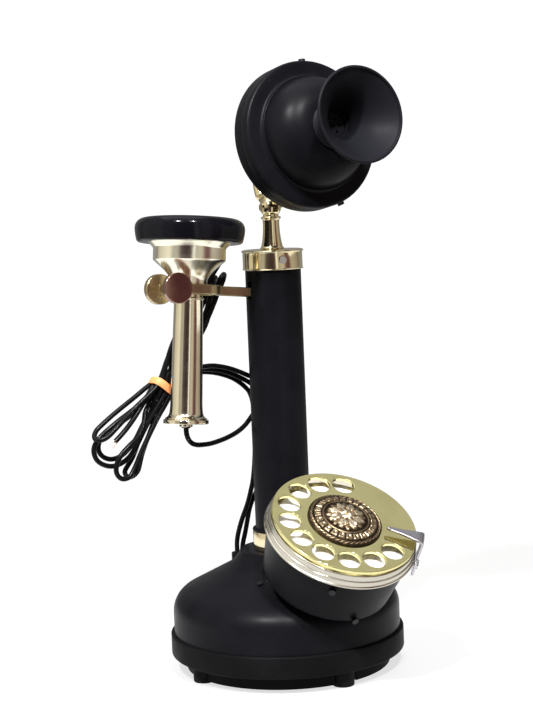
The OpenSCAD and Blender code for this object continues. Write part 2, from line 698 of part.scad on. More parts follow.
module main_gear() {
    color("#b9a05a") at_dial() translate([0, 0, -21]) linear_extrude(2) difference() {
        polygon(gear_points(gear_teeth, gear_r, 0.9));
        circle(r = shaft_r);
    }
}

module pulse_cam() {
    color("#e8e0c8") at_dial() translate([0, 0, -25]) linear_extrude(2.5) difference() {
        polygon(gear_points(holes, 9, 1.6));
        circle(r = shaft_r);
    }
}

module return_spring() {
    color("#6f7680") at_dial() for (r = [6.6:1.1:11]) translate([0, 0, -18.4]) ring(r, r - 0.5, 2.2);
}

module pulse_contacts() {
    color("#7a4a2a") at_dial() translate([-22, -5, -30.4]) cube([6, 10, 10.9]);
    color("#b9a05a") at_dial() for (z = [-26, -23.4]) translate([-16.2, -2, z]) cube([6.4, 4, 0.5]);
}

module governor_rotor() {
    color("#b9a05a") at_dial() translate([governor_x, 0, 0]) {
        translate([0, 0, -32.2]) cylinder(r = 1, h = 20.2);
        translate([0, 0, -21.6]) linear_extrude(3.2) polygon(gear_points(pinion_teeth, pinion_r, 0.9));
        for (s = [-1, 1]) translate([s * 2.6, 0, -28.6]) cylinder(r = 1.7, h = 3);
        translate([-3, -0.8, -28.6]) cube([6, 1.6, 3]);
    }
}

module governor_cup() {
    color("silver") at_dial() translate([governor_x, 0, -30.4]) difference() {
        cylinder(r = 6.2, h = 5.4);
        translate([0, 0, 0.8]) cylinder(r = 5.4, h = 5);
        translate([0, 0, -1]) cylinder(r = 1.4, h = 3);
    }
}

// ---- Cords ----
module receiver_cord() { color("#101014") tube(receiver_route, cord_d); }
module line_cord() { color("#101014") tube(line_route, cord_d); }
module line_cord_loop() { color("#101014") tube(loop_route, cord_d); }

module hank_outline() {
    hull() {
        translate(hank_top) circle(r = 4.4, $fn = 32);
        translate(hank_mid) circle(r = 8, $fn = 32);
    }
    hull() {
        translate(hank_mid) circle(r = 8, $fn = 32);
        translate(hank_waist) circle(r = 6, $fn = 32);
    }
    hull() {
        translate(hank_waist) circle(r = 6, $fn = 32);
        translate([-95, 129]) circle(r = 4, $fn = 32);
        translate([-84, 112]) circle(r = 4, $fn = 32);
        translate([-78, 108]) circle(r = 4, $fn = 32);
    }
}

module line_cord_hank() {
    color("#101014") translate([0, hank_y + hank_t, 0]) rotate([90, 0, 0]) linear_extrude(hank_t)
        hank_outline();
}

module hank_band() {
    color("#f08c3c") translate([0, hank_y + hank_t + 0.8, 0]) rotate([90, 0, 0]) difference() {
        translate(hank_waist) rotate([0, 0, -40]) translate([-7.4, -1.7, 0]) cube([14.8, 3.4, hank_t + 1.6]);
        translate([0, 0, 0.8]) linear_extrude(hank_t) hank_outline();
    }
}

// Cut end of the cord lying on the hank's front, with its two conductors bared.
module line_cord_end() {
    translate([-84, hank_y - 1.2, 130]) rotate([0, -130, 0]) {
        color("#101014") cylinder(r = cord_d / 2, h = 9);
        color("#e6dcd6") for (s = [-1, 1]) translate([0.7 * s, 0, 8]) cylinder(r = 0.5, h = 4.5);
    }
}

base_rim();
base_shell();
bottom_cover();
rubber_feet();
foot_screws();
cover_screws();
circuit_board();
board_screws();
sounder();
terminal_block();
cord_gland();
column_tube();
lower_collar();
column_nut();
top_collar();
collar_screw();
swivel_post();
post_nut();
tilt_pin();
hook_fork();
hook_pin();
hook_spring();
hook_switch();
receiver_tube();
receiver_cup();
ear_cap();
earphone();
receiver_tail();
receiver_cord_relief();
transmitter_back();
transmitter_face();
mouthpiece();
mouth_grille();
microphone();
case_screws();
tilt_arm();
arm_screws();
dial_housing();
housing_screws();
dial_bezel();
number_plate();
finger_stop();
stop_screw();
dial_frame();
dial_bush();
dial_shaft();
finger_wheel();
medallion();
main_gear();
pulse_cam();
return_spring();
pulse_contacts();
governor_rotor();
governor_cup();
receiver_cord();
line_cord();
line_cord_loop();
line_cord_hank();
hank_band();
line_cord_end();
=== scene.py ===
import json
import math
import bpy
import bmesh
from mathutils import Matrix, Vector


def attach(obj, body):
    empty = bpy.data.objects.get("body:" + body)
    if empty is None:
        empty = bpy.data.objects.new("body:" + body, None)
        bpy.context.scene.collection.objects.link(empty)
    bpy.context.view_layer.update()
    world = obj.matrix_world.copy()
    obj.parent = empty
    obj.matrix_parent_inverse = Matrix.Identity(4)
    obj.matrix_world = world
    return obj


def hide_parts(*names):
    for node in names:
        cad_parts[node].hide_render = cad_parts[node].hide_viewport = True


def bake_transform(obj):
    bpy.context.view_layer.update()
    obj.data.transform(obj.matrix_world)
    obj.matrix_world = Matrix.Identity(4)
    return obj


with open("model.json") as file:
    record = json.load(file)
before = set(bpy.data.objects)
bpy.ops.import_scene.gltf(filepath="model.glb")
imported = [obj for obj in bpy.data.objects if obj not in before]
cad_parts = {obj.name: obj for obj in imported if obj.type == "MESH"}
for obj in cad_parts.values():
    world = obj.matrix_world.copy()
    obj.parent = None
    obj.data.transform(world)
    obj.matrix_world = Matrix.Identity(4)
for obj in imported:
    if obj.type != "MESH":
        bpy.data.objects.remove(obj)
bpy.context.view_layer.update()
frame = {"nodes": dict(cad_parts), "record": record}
MM = 0.001
RAD = math.radians
CAMERA_TURN = -30                  # degrees round the column, from straight in front of the dial
CAMERA_BEARING = CAMERA_TURN - 90  # the same direction measured from +X


# ---------------------------------------------------------------- camera
def add_camera():
    """The photograph's viewpoint: to the left of the dial, at about the height of the transmitter's swivel.

    The numbers were fitted to the photograph, except the turn, which was given."""
    azimuth, distance, height = RAD(CAMERA_TURN), 0.8593, 0.24965
    yaw_off, pitch, roll = RAD(0.34), RAD(-5.743), RAD(2.339)
    focal_px, frame_h, sensor = 1668.4, 710, 36.0
    place = Vector((math.sin(azimuth) * distance, -math.cos(azimuth) * distance, height))
    yaw = math.atan2(-place.y, -place.x) + yaw_off
    ahead = Vector((math.cos(yaw) * math.cos(pitch), math.sin(yaw) * math.cos(pitch), math.sin(pitch)))
    side = ahead.cross(Vector((0, 0, 1))).normalized()
    above = side.cross(ahead)
    right = side * math.cos(roll) - above * math.sin(roll)
    up = above * math.cos(roll) + side * math.sin(roll)
    cam = bpy.data.cameras.new("camera")
    cam.sensor_fit = "VERTICAL"
    cam.sensor_height = sensor
    cam.lens = focal_px / frame_h * sensor
    cam.clip_end = 50
    obj = bpy.data.objects.new("camera", cam)
    turn = Matrix((right, up, -ahead)).transposed().to_4x4()
    obj.matrix_world = Matrix.Translation(place) @ turn
    bpy.context.scene.collection.objects.link(obj)
    bpy.context.scene.camera = obj


add_camera()


# ---------------------------------------------------------------- materials
class Nodes:
    """Small helper that adds nodes to one material and links them."""

    def __init__(self, name):
        self.mat = bpy.data.materials.new(name)
        self.mat.use_nodes = True
        self.tree = self.mat.node_tree
        self.bsdf = self.tree.nodes["Principled BSDF"]
        self.coord = self.add("ShaderNodeTexCoord").outputs["Object"]

    def add(self, kind, **values):
        node = self.tree.nodes.new(kind)
        for key, value in values.items():
            setattr(node, key, value)
        return node

    def link(self, a, b):
        self.tree.links.new(a, b)

    def noise(self, scale, detail=3.0, rough=0.55, stretch=(1, 1, 1)):
        node = self.add("ShaderNodeTexNoise")
        node.inputs["Scale"].default_value = scale
        node.inputs["Detail"].default_value = detail
        node.inputs["Roughness"].default_value = rough
        if stretch == (1, 1, 1):
            self.link(self.coord, node.inputs["Vector"])
        else:
            mapping = self.add("ShaderNodeMapping")
            mapping.inputs["Scale"].default_value = stretch
            self.link(self.coord, mapping.inputs["Vector"])
            self.link(mapping.outputs["Vector"], node.inputs["Vector"])
        return node.outputs["Fac"]

    def ramp(self, value, low, high, out_low=0.0, out_high=1.0):
        node = self.add("ShaderNodeMapRange")
        node.inputs["From Min"].default_value = low
        node.inputs["From Max"].default_value = high
        node.inputs["To Min"].default_value = out_low
        node.inputs["To Max"].default_value = out_high
        self.link(value, node.inputs["Value"])
        return node.outputs["Result"]

    def mix(self, fac, a, b):
        node = self.add("ShaderNodeMix", data_type="RGBA")
        self.link(fac, node.inputs["Factor"])
        for socket, value in ((node.inputs["A"], a), (node.inputs["B"], b)):
            if isinstance(value, tuple):
                socket.default_value = (*value, 1)
            else:
                self.link(value, socket)
        return node.outputs["Result"]

    def add_up(self, a, b):
        node = self.add("ShaderNodeMath", operation="ADD")
        for socket, value in ((node.inputs[0], a), (node.inputs[1], b)):
            if isinstance(value, (int, float)):
                socket.default_value = value
            else:
                self.link(value, socket)
        return node.outputs["Value"]

    def bump(self, height, strength, distance=0.0002):
        node = self.add("ShaderNodeBump")
        node.inputs["Strength"].default_value = strength
        node.inputs["Distance"].default_value = distance
        self.link(height, node.inputs["Height"])
        return node.outputs["Normal"]


def coated(name, dark, light, rough, spread=0.08, grain=900.0, bump=0.12, dust=0.0, spec=0.5):
    """Painted, moulded or rubber surface: uneven colour and sheen, an orange-peel skin and a little dust."""
    n = Nodes(name)
    patches = n.ramp(n.noise(38, 4), 0.35, 0.65)
    colour = n.mix(patches, dark, light)
    if dust:
        specks = n.ramp(n.noise(1500, 1.0, 0.4), 0.74, 0.80, 0, dust)
        colour = n.mix(specks, colour, (0.32, 0.31, 0.30))
    n.link(colour, n.bsdf.inputs["Base Color"])
    smudge = n.ramp(n.noise(90, 5, 0.6), 0.3, 0.7, rough - spread, rough + spread)
    n.link(smudge, n.bsdf.inputs["Roughness"])
    n.link(n.bump(n.noise(grain, 2.0), bump, 0.00012), n.bsdf.inputs["Normal"])
    n.bsdf.inputs["Specular IOR Level"].default_value = spec
    return n.mat


def metal(name, tone, dull, rough, spread=0.05, brush=None, brush_bump=0.05, tarnish=0.35, dark=None):
    """Metal with patches of tarnish, smudges, optional dark spots and an optional brushed direction."""
    n = Nodes(name)
    patches = n.ramp(n.noise(55, 5, 0.62), 0.42, 0.72, 0, tarnish)
    colour = n.mix(patches, tone, dull)
    if dark is not None:
        spots = n.ramp(n.noise(620, 3, 0.6), 0.66, 0.74, 0, 0.7)
        colour = n.mix(spots, colour, dark)
    n.link(colour, n.bsdf.inputs["Base Color"])
    n.bsdf.inputs["Metallic"].default_value = 1.0
    smudge = n.ramp(n.noise(120, 5, 0.6), 0.3, 0.7, max(0.04, rough - spread), rough + spread)
    n.link(smudge, n.bsdf.inputs["Roughness"])
    height = n.noise(700, 3, 0.6) if brush is None else n.noise(300, 3, 0.6, brush)
    n.link(n.bump(height, brush_bump, 0.0001), n.bsdf.inputs["Normal"])
    return n.mat


BLACK = coated("black_enamel", (0.0035, 0.0034, 0.0048), (0.0054, 0.0053, 0.0072), 0.37, 0.05,
               grain=1100, bump=0.10, dust=0.05, spec=0.065)
RIM = coated("rim_enamel", (0.0036, 0.0036, 0.0040), (0.0058, 0.0058, 0.0064), 0.48, 0.06,
             grain=900, bump=0.16, dust=0.06, spec=0.03)
# painted shade: the cover under the base is its own black moulding, made darker still than the enamel to
# stand for the shade beneath the base
COVER_PAINTED_SHADE = coated("cover_moulding_painted_shade", (0.003, 0.003, 0.0034), (0.005, 0.005, 0.0056), 0.55,
               grain=700, bump=0.2, spec=0.04)
RUBBER = coated("foot_rubber", (0.0035, 0.0035, 0.0035), (0.006, 0.006, 0.006), 0.62,
                grain=500, bump=0.25, dust=0.2, spec=0.08)
GLOSS = coated("gloss_moulding", (0.0026, 0.0025, 0.0040), (0.0042, 0.0040, 0.0060), 0.12, 0.03,
               grain=600, bump=0.03, dust=0.08, spec=0.14)
HORN = coated("horn_moulding", (0.0070, 0.0072, 0.0095), (0.0098, 0.0100, 0.0130), 0.46, 0.05,
              grain=800, bump=0.08, spec=0.06)
CORD = coated("cord_sheath", (0.0026, 0.0026, 0.0034), (0.0046, 0.0046, 0.0056), 0.26, 0.07,
              grain=500, bump=0.10, spec=0.14)
BRASS = metal("polished_brass", (0.88, 0.78, 0.52), (0.66, 0.52, 0.28), 0.13, brush=(1, 1, 14),
              dark=(0.20, 0.14, 0.07))
PALE = metal("pale_brass", (0.88, 0.81, 0.62), (0.66, 0.56, 0.38), 0.12, brush=(14, 14, 1), tarnish=0.3)
CUP = metal("cup_brass", (0.98, 0.94, 0.78), (0.90, 0.83, 0.64), 0.20, brush=(14, 14, 1), tarnish=0.25)
WHEEL = metal("wheel_brass", (0.88, 0.81, 0.40), (0.62, 0.55, 0.23), 0.12, brush_bump=0.04, tarnish=0.4)
OLIVE = metal("hook_brass", (0.60, 0.50, 0.30), (0.36, 0.30, 0.17), 0.26, brush=(16, 1, 16), brush_bump=0.12,
              tarnish=0.6)
# painted reflection: the front hook disc gets a darker, reddish copy of the hook brass, standing for the
# red-brown room it reflects
FRONT_DISC_PAINTED_REFLECTION = metal("disc_brass_painted_reflection", (0.44, 0.27, 0.23), (0.30, 0.20, 0.15), 0.16, brush_bump=0.06, tarnish=0.6)
CHROME = metal("bezel_plate", (0.58, 0.55, 0.47), (0.42, 0.38, 0.31), 0.16, brush=(1, 1, 10), tarnish=0.3)
STEEL = metal("plain_steel", (0.62, 0.62, 0.63), (0.42, 0.41, 0.40), 0.24)
STOP = metal("stop_steel", (0.55, 0.53, 0.57), (0.36, 0.34, 0.38), 0.22, brush=(1, 12, 12))
SCREW = metal("black_screw", (0.035, 0.035, 0.038), (0.018, 0.018, 0.02), 0.38)


# ---------------------------------------------------------------- shape helpers
def arc(cx, cy, r, a0, a1, n=10):
    return [(cx + r * math.cos(RAD(a0 + (a1 - a0) * i / n)), cy + r * math.sin(RAD(a0 + (a1 - a0) * i / n)))
            for i in range(n + 1)]


def smooth(points, steps=6):
    """Catmull-Rom curve through points of any dimension."""
    out = []
    last = len(points) - 1
    for i in range(last):
        a, b, c, d = (points[max(i - 1, 0)], points[i], points[i + 1], points[min(i + 2, last)])
        for k in range(steps):
            t = k / steps
            out.append(tuple(0.5 * (2 * q + (r - p) * t + (2 * p - 5 * q + 4 * r - s) * t * t
                                    + (3 * q - p - 3 * r + s) * t ** 3) for p, q, r, s in zip(a, b, c, d)))
    out.append(tuple(points[-1]))
    return out


def place(obj, body, material=None, slot=None, replaces=()):
    if obj.name not in bpy.context.scene.collection.objects:
        bpy.context.scene.collection.objects.link(obj)
    if material is not None:
        obj.data.materials.clear()
        obj.data.materials.append(material)
    if body:
        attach(obj, body)
    if replaces:
        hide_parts(*replaces)
    return obj


def mesh_of(name, verts, faces, sharp=38):
    mesh = bpy.data.meshes.new(name)
    mesh.from_pydata(verts, [], faces)
    bm = bmesh.new()
    bm.from_mesh(mesh)
    bmesh.ops.remove_doubles(bm, verts=bm.verts, dist=1e-7)
    bmesh.ops.recalc_face_normals(bm, faces=bm.faces)
    bm.to_mesh(mesh)
    bm.free()
    mesh.polygons.foreach_set("use_smooth", [True] * len(mesh.polygons))
    mesh.set_sharp_from_angle(angle=RAD(sharp))
    return mesh


def lathe(name, profile, at, segments=144, closed=True, sharp=38):
    """Turned solid: profile is (radius, height) in mm along the local z axis of the matrix at."""
    verts, faces, rings = [], [], []
    for r, z in profile:
        if r < 1e-4:
            verts.append(at @ Vector((0, 0, z * MM)))
            rings.append([len(verts) - 1] * segments)
            continue
        start = len(verts)
        for k in range(segments):
            a = 2 * math.pi * k / segments
            verts.append(at @ Vector((r * MM * math.cos(a), r * MM * math.sin(a), z * MM)))
        rings.append(list(range(start, start + segments)))
    pairs = list(zip(rings, rings[1:]))
    if closed and not (profile[0][0] < 1e-4 and profile[-1][0] < 1e-4):
        pairs.append((rings[-1], rings[0]))
    for lower, upper in pairs:
        for k in range(segments):
            j = (k + 1) % segments
            face = [lower[k], lower[j], upper[j], upper[k]]
            face = [v for i, v in enumerate(face) if v not in face[:i]]
            if len(face) > 2:
                faces.append(face)
    return bpy.data.objects.new(name, mesh_of(name, verts, faces, sharp))


def rot(angle, axis):
    return Matrix.Rotation(RAD(angle), 4, axis)


def shift(x, y, z):
    return Matrix.Translation(Vector((x, y, z)) * MM)


# the same frames as the CAD model
ARM_SLOPE, FORK_TWIST, RECEIVER_OUT, PIVOT_Z = 6, 3.5, 49.4, 195
TILT, AXIS_Z, BALL_Z = 9, 267.7, 239.4
DIAL_Y, DIAL_Z, DIAL_TILT = -60.5, 85.1, 31.7
AT_ARM = shift(0, 0, PIVOT_Z) @ rot(ARM_SLOPE, "Y")
AT_FORK = AT_ARM @ rot(-FORK_TWIST, "X")
AT_RECEIVER = AT_FORK @ shift(-RECEIVER_OUT, 0, 0)
AT_CASE = shift(0, 0, AXIS_Z) @ rot(90 - TILT, "X")
AT_DIAL = shift(0, DIAL_Y, DIAL_Z) @ rot(DIAL_TILT, "X")


def frames_along(points):
    """A turning frame carried along the points without twist."""
    tangents = []
    for i in range(len(points)):
        a, b = points[max(i - 1, 0)], points[min(i + 1, len(points) - 1)]
        tangents.append((b - a).normalized())
    side = tangents[0].cross(Vector((0, 1, 0)) if abs(tangents[0].y) < 0.9
                             else Vector((1, 0, 0))).normalized()
    sides = [side]
    for t0, t1 in zip(tangents, tangents[1:]):
        side = t0.rotation_difference(t1) @ side
        side = (side - t1 * side.dot(t1)).normalized()
        sides.append(side)
    return tangents, sides


def tube_mesh(name, points, radius, sides_n=16):
    """Round tube swept along points in metres; radius is one number or one per point."""
    tangents, sides = frames_along(points)
    radii = radius if isinstance(radius, list) else [radius] * len(points)
    verts, faces = [], []
    for p, t, s, r in zip(points, tangents, sides, radii):
        over = t.cross(s)
        for k in range(sides_n):
            a = 2 * math.pi * k / sides_n
            verts.append(p + (s * math.cos(a) + over * math.sin(a)) * r)
    for i in range(len(points) - 1):
        for k in range(sides_n):
            j = (k + 1) % sides_n
            faces.append([i * sides_n + k, i * sides_n + j, (i + 1) * sides_n + j, (i + 1) * sides_n + k])
    faces.append(list(range(sides_n))[::-1])
    faces.append([(len(points) - 1) * sides_n + k for k in range(sides_n)])
    return bpy.data.objects.new(name, mesh_of(name, verts, faces, 50))


def even(points, spacing):
    """The same line with points about spacing apart."""
    out, carried = [points[0]], 0.0
    for a, b in zip(points, points[1:]):
        step = (b - a).length
        at = spacing - carried
        while at <= step:
            out.append(a.lerp(b, at / step))
            at += spacing
        carried = (carried + step) % spacing
    if (out[-1] - points[-1]).length > spacing * 0.3:
        out.append(points[-1])
    else:
        out[-1] = points[-1]
    return out


# ---------------------------------------------------------------- cords
CORD_D = 2.6
RECEIVER_ROUTE = [(-56.2, -4.2, 132), (-56.2, -4.2, 128.8), (-55.2, -3.8, 125.8), (-52.8, -2.6, 123.2),
                  (-49, -0.6, 121.6), (-44, 2, 120.8), (-37, 5.4, 120.4), (-27, 10.4, 121),
                  (-18, 14.6, 122.6), (-12, 17.2, 124.8), (-8, 18.6, 127.4), (-4.8, 19.2, 130.4),
                  (-1.6, 19.6, 132.6), (2.2, 20, 132.6), (5.2, 20.5, 130.4), (6.6, 20.9, 127),
                  (7, 21.5, 121), (6, 22.4, 110), (3.4, 23.6, 99), (0.2, 24.6, 91), (-3.2, 25.6, 84.4),
                  (-4.8, 26.8, 79.2), (-5.6, 28, 73.6), (-6.8, 29.2, 66), (-8, 29.9, 60.6),
                  (-8.6, 30, 56), (-8.6, 30, 50)]
LINE_ROUTE = [(-11.8, 30, 50), (-11.8, 30, 56), (-11.8, 29.8, 61), (-11.4, 29.2, 65), (-10.4, 28.2, 70),
              (-9.1, 27, 75), (-7.6, 25.8, 79.6), (-6.4, 24.8, 84), (-5.4, 23.8, 89), (-4.4, 23, 94),
              (-3.2, 23, 101), (-2.2, 23.2, 110), (-1.6, 23.4, 120), (-1.6, 23.4, 129), (-2.4, 23, 136.6),
              (-4.2, 22.6, 141.8), (-6.6, 22.4, 144.8), (-9.8, 22.4, 147.6), (-14.4, 22.3, 150.6),
              (-20.2, 22.2, 153), (-26, 22, 154.6), (-32, 22, 155.4), (-38, 21.6, 155.2), (-45, 20, 154.6)]
BIGHT = [(-47, 18.4, 158.2), (-40, 19, 157.8), (-33, 19.3, 157.2), (-26, 19.4, 156.3), (-20, 19.4, 154.7),
         (-14.4, 19.4, 152.3), (-9.6, 19.4, 149.9), (-5.2, 19.4, 147.2), (-1.4, 19.4, 144), (1.8, 19.3, 141),
         (5, 19.1, 138.8), (8.8, 18.8, 138.8), (11.8, 18.5, 141.4), (12.4, 18.2, 145.2), (10.4, 17.9, 148.4),
         (6.8, 17.6, 149.8), (2.6, 17.2, 150), (-2, 16.8, 150.2), (-7, 16.6, 151.4), (-12.6, 16.6, 154),
         (-18.6, 16.6, 156.4), (-24.2, 16.6, 158), (-29, 16.6, 158.8), (-34.4, 16.4, 158.8),
         (-40, 15.6, 158.2), (-46, 14.6, 156.2)]


def waist(across, y):
    """A place in the band: across the bundle, in the plane of the hank, and its depth."""
    return (-58.4 + 0.716 * across, y, 150.8 - 0.545 * across)


def fold(front, back, ahead):
    """Half turn of cord from one strand to the next, bulging out by the third vector."""
    return [tuple((f + b) / 2 + (b - f) / 2 * math.sin(RAD(a)) + d * math.cos(RAD(a))
                  for f, b, d in zip(front, back, ahead)) for a in range(-90, 91, 30)]


HANK = (
    LINE_ROUTE
    + [(-53, 18.6, 154.6), waist(-4.2, 19.5)]
    # first loop: down to the left tip and back
    + [(-74.6, 18.5, 145.6), (-86, 17.4, 139)] + fold((-94.2, 16.6, 133.6), (-92.2, 9.4, 130), (-5, 0, -3.6))
    + [(-86.6, 9.8, 134.4), (-77, 11.8, 141.4), waist(-4.4, 12.6)]
    # up the left path in front, over the top and down behind
    + [(-57.2, 12.6, 163), (-54, 12.6, 171), (-47.8, 12.6, 182), (-41, 12.6, 191.2), (-34, 12.6, 199.4)]
    + fold((-24.6, 12.6, 211.2), (-21.6, 23.2, 210.6), (3.4, 0, 4.4))
    + [(-30.6, 23.2, 197), (-38, 22.8, 187.4), (-45.4, 21.6, 176.6), (-53, 20, 164), waist(-1.6, 19.4)]
    # second loop: wide and open
    + [(-72.5, 16.4, 142.4), (-85.1, 14.6, 135.6), (-95, 14.6, 128.8), (-98.4, 15.2, 123.4),
       (-97.2, 15.6, 117.8), (-93, 15.4, 114.4), (-87.4, 15.2, 113.4), (-81, 15, 115.8),
       (-75.9, 14.6, 121.3), (-69, 13.6, 133), waist(1.6, 12.4)]
    # up the right path in front, over and down behind
    + [(-52.8, 12.4, 160.4), (-46.6, 12.4, 166), (-40, 12.4, 172.4), (-34.4, 12.4, 180), (-31, 12.4, 187.4)]
    + fold((-23.4, 12.6, 201.2), (-20.2, 23.2, 200.4), (2.6, 0, 4.8))
    + [(-24.6, 23.2, 190.6), (-29.4, 23, 180.6), (-36, 22.4, 172), (-45, 20.6, 163.6), waist(-1.6, 16)]
    # third loop, inside the second
    + [(-75.6, 17, 138.4), (-85.6, 17.4, 133), (-91.8, 18, 128.8), (-94.4, 18.4, 124.6), (-94, 18.6, 120.4),
       (-91, 18.6, 117.4), (-86.6, 18.4, 116.4), (-81, 18, 118.4), (-74.5, 17.4, 125), (-67.5, 16.6, 136),
       waist(4.6, 16)]
    # up the left path between its two strands
    + [(-52.6, 15.6, 165.6), (-47, 15, 176.6), (-40.6, 14.6, 187), (-34, 14.6, 195.4)]
    + fold((-29.4, 14.4, 201.2), (-24.6, 22.2, 198.8), (3, 0, 4.2))
    + [(-30.4, 21.6, 190.6), (-36.6, 20.6, 181), (-43, 19.8, 171.4), (-50, 19.4, 161.6), waist(1.6, 19.4)]
    # fourth loop, in front and lowest
    + [(-67.4, 17, 140.4), (-71.4, 13.4, 133), (-76, 10.6, 127.4), (-81.6, 9.4, 123.6), (-86.6, 9, 119.4),
       (-89.2, 9.2, 114.6), (-89, 9.8, 110.2), (-86, 10.6, 107.2), (-81.8, 11.2, 107.4), (-78.6, 11.6, 111),
       (-73.4, 12.2, 120), (-64.6, 12.8, 134), waist(4.6, 12.6)]
    # up the right path between its two strands
    + [(-50.6, 15.4, 161.4), (-43.6, 15.4, 169.6), (-37.8, 15.2, 177), (-33.2, 15, 184.6)]
    + fold((-29.4, 14.8, 194.4), (-23.8, 21, 191.2), (2.6, 0, 4.4))
    + [(-28, 20.4, 184), (-32.4, 20, 177.6), (-38.8, 19.8, 170.4), (-47.4, 19.2, 162.4), waist(-1.4, 12.8)]
    # fifth loop, narrow, along the right of the bundle
    + [(-65.6, 16.6, 138), (-70.6, 19.4, 126), (-75, 20.2, 116)]
    + fold((-79.2, 20.8, 109.8), (-75.8, 12, 111.2), (-1.5, 0, -4))
    + [(-72, 14, 119.4), (-64.4, 16, 133), waist(4.4, 19.2), (-51.8, 19, 157)]
    + BIGHT
    + [(-52.6, 14.2, 154), waist(-4.4, 16)]
    # the free end
    + [(-70.5, 13.6, 144), (-77.6, 11.4, 136.6), (-84, 9.6, 131), (-89.6, 8.8, 126.6)]
)


def metres(route, spacing=0.0011):
    return even([Vector(p) * MM for p in smooth(route, 12)], spacing)


def add_cords():
    line = metres(HANK)
    line[0] = Vector(LINE_ROUTE[0]) * MM
    curve = bpy.data.curves.new("line_cord_run", "CURVE")
    curve.dimensions = "3D"
    curve.bevel_depth = CORD_D / 2 * MM
    curve.bevel_resolution = 3
    curve.use_fill_caps = True
    spline = curve.splines.new("POLY")
    spline.points.add(len(line) - 1)
    for point, p in zip(spline.points, line):
        point.co = (*p, 1)
    spline.use_smooth = True
    cord = bpy.data.objects.new("line_cord_run", curve)
    place(cord, "stand", CORD, "cord_black",
          ("line_cord", "line_cord_loop", "line_cord_hank", "line_cord_end"))
    along = (line[-1] - line[-4]).normalized()
    aside = along.cross(Vector((0, 1, 0))).normalized()
    for k, tone in ((-1, (0.80, 0.76, 0.72)), (1, (0.78, 0.42, 0.38))):
        start = line[-1] + aside * k * 0.00065 - along * 0.001
        points = [start + along * 0.0008 * i + aside * k * 0.00016 * i for i in range(6)]
        core = tube_mesh("core_%s" % ("left" if k < 0 else "right"), points, 0.00042, 10)
        place(core, "stand", coated("core_%d" % (k + 1), tone, tuple(v * 0.85 for v in tone), 0.5),
              "cord_black")

    run = metres(RECEIVER_ROUTE)
    receiver_cord = tube_mesh("receiver_cord_run", run, CORD_D / 2 * MM, 14)
    place(receiver_cord, None, CORD, "cord_black", ("receiver_cord",))
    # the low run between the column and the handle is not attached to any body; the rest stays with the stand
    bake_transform(receiver_cord)


add_cords()


# ---------------------------------------------------------------- base
WALL_R, SHOULDER_R, SHOULDER_Z, SLOPE, SWEEP_R, SLOPE_RUN, NECK_END = 59.2, 13.2, 30.8, 63, 19, 23, 205
SWEEP_X = (WALL_R - SHOULDER_R + (SHOULDER_R + SWEEP_R) * math.cos(RAD(SLOPE))
           - SLOPE_RUN * math.sin(RAD(SLOPE)))
SWEEP_Z = SHOULDER_Z + (SHOULDER_R + SWEEP_R) * math.sin(RAD(SLOPE)) + SLOPE_RUN * math.cos(RAD(SLOPE))
NECK_Z = SWEEP_Z + SWEEP_R * math.sin(RAD(NECK_END))
RIM_Z, RIM_TOP = 8.8, 20.0


def dome_profile(inset, last, n=24):
    shoulder = arc(WALL_R - SHOULDER_R, SHOULDER_Z, SHOULDER_R - inset, 0, SLOPE, n)
    sweep = arc(SWEEP_X, SWEEP_Z, SWEEP_R + inset, 180 + SLOPE, last, n)
    middle = [tuple(a + (b - a) * k / 8 for a, b in zip(shoulder[-1], sweep[0])) for k in range(1, 8)]
    return [(WALL_R - inset, RIM_Z + 2)] + shoulder + middle + sweep


OUTSIDE = dome_profile(0, NECK_END)


def dome_height(r):
    for (r0, z0), (r1, z1) in zip(OUTSIDE[1:], OUTSIDE[2:]):
        if r1 <= r <= r0:
            return z0 + (z1 - z0) * (r0 - r) / max(r0 - r1, 1e-6)
    return OUTSIDE[-1][1] if r < OUTSIDE[-1][0] else RIM_TOP


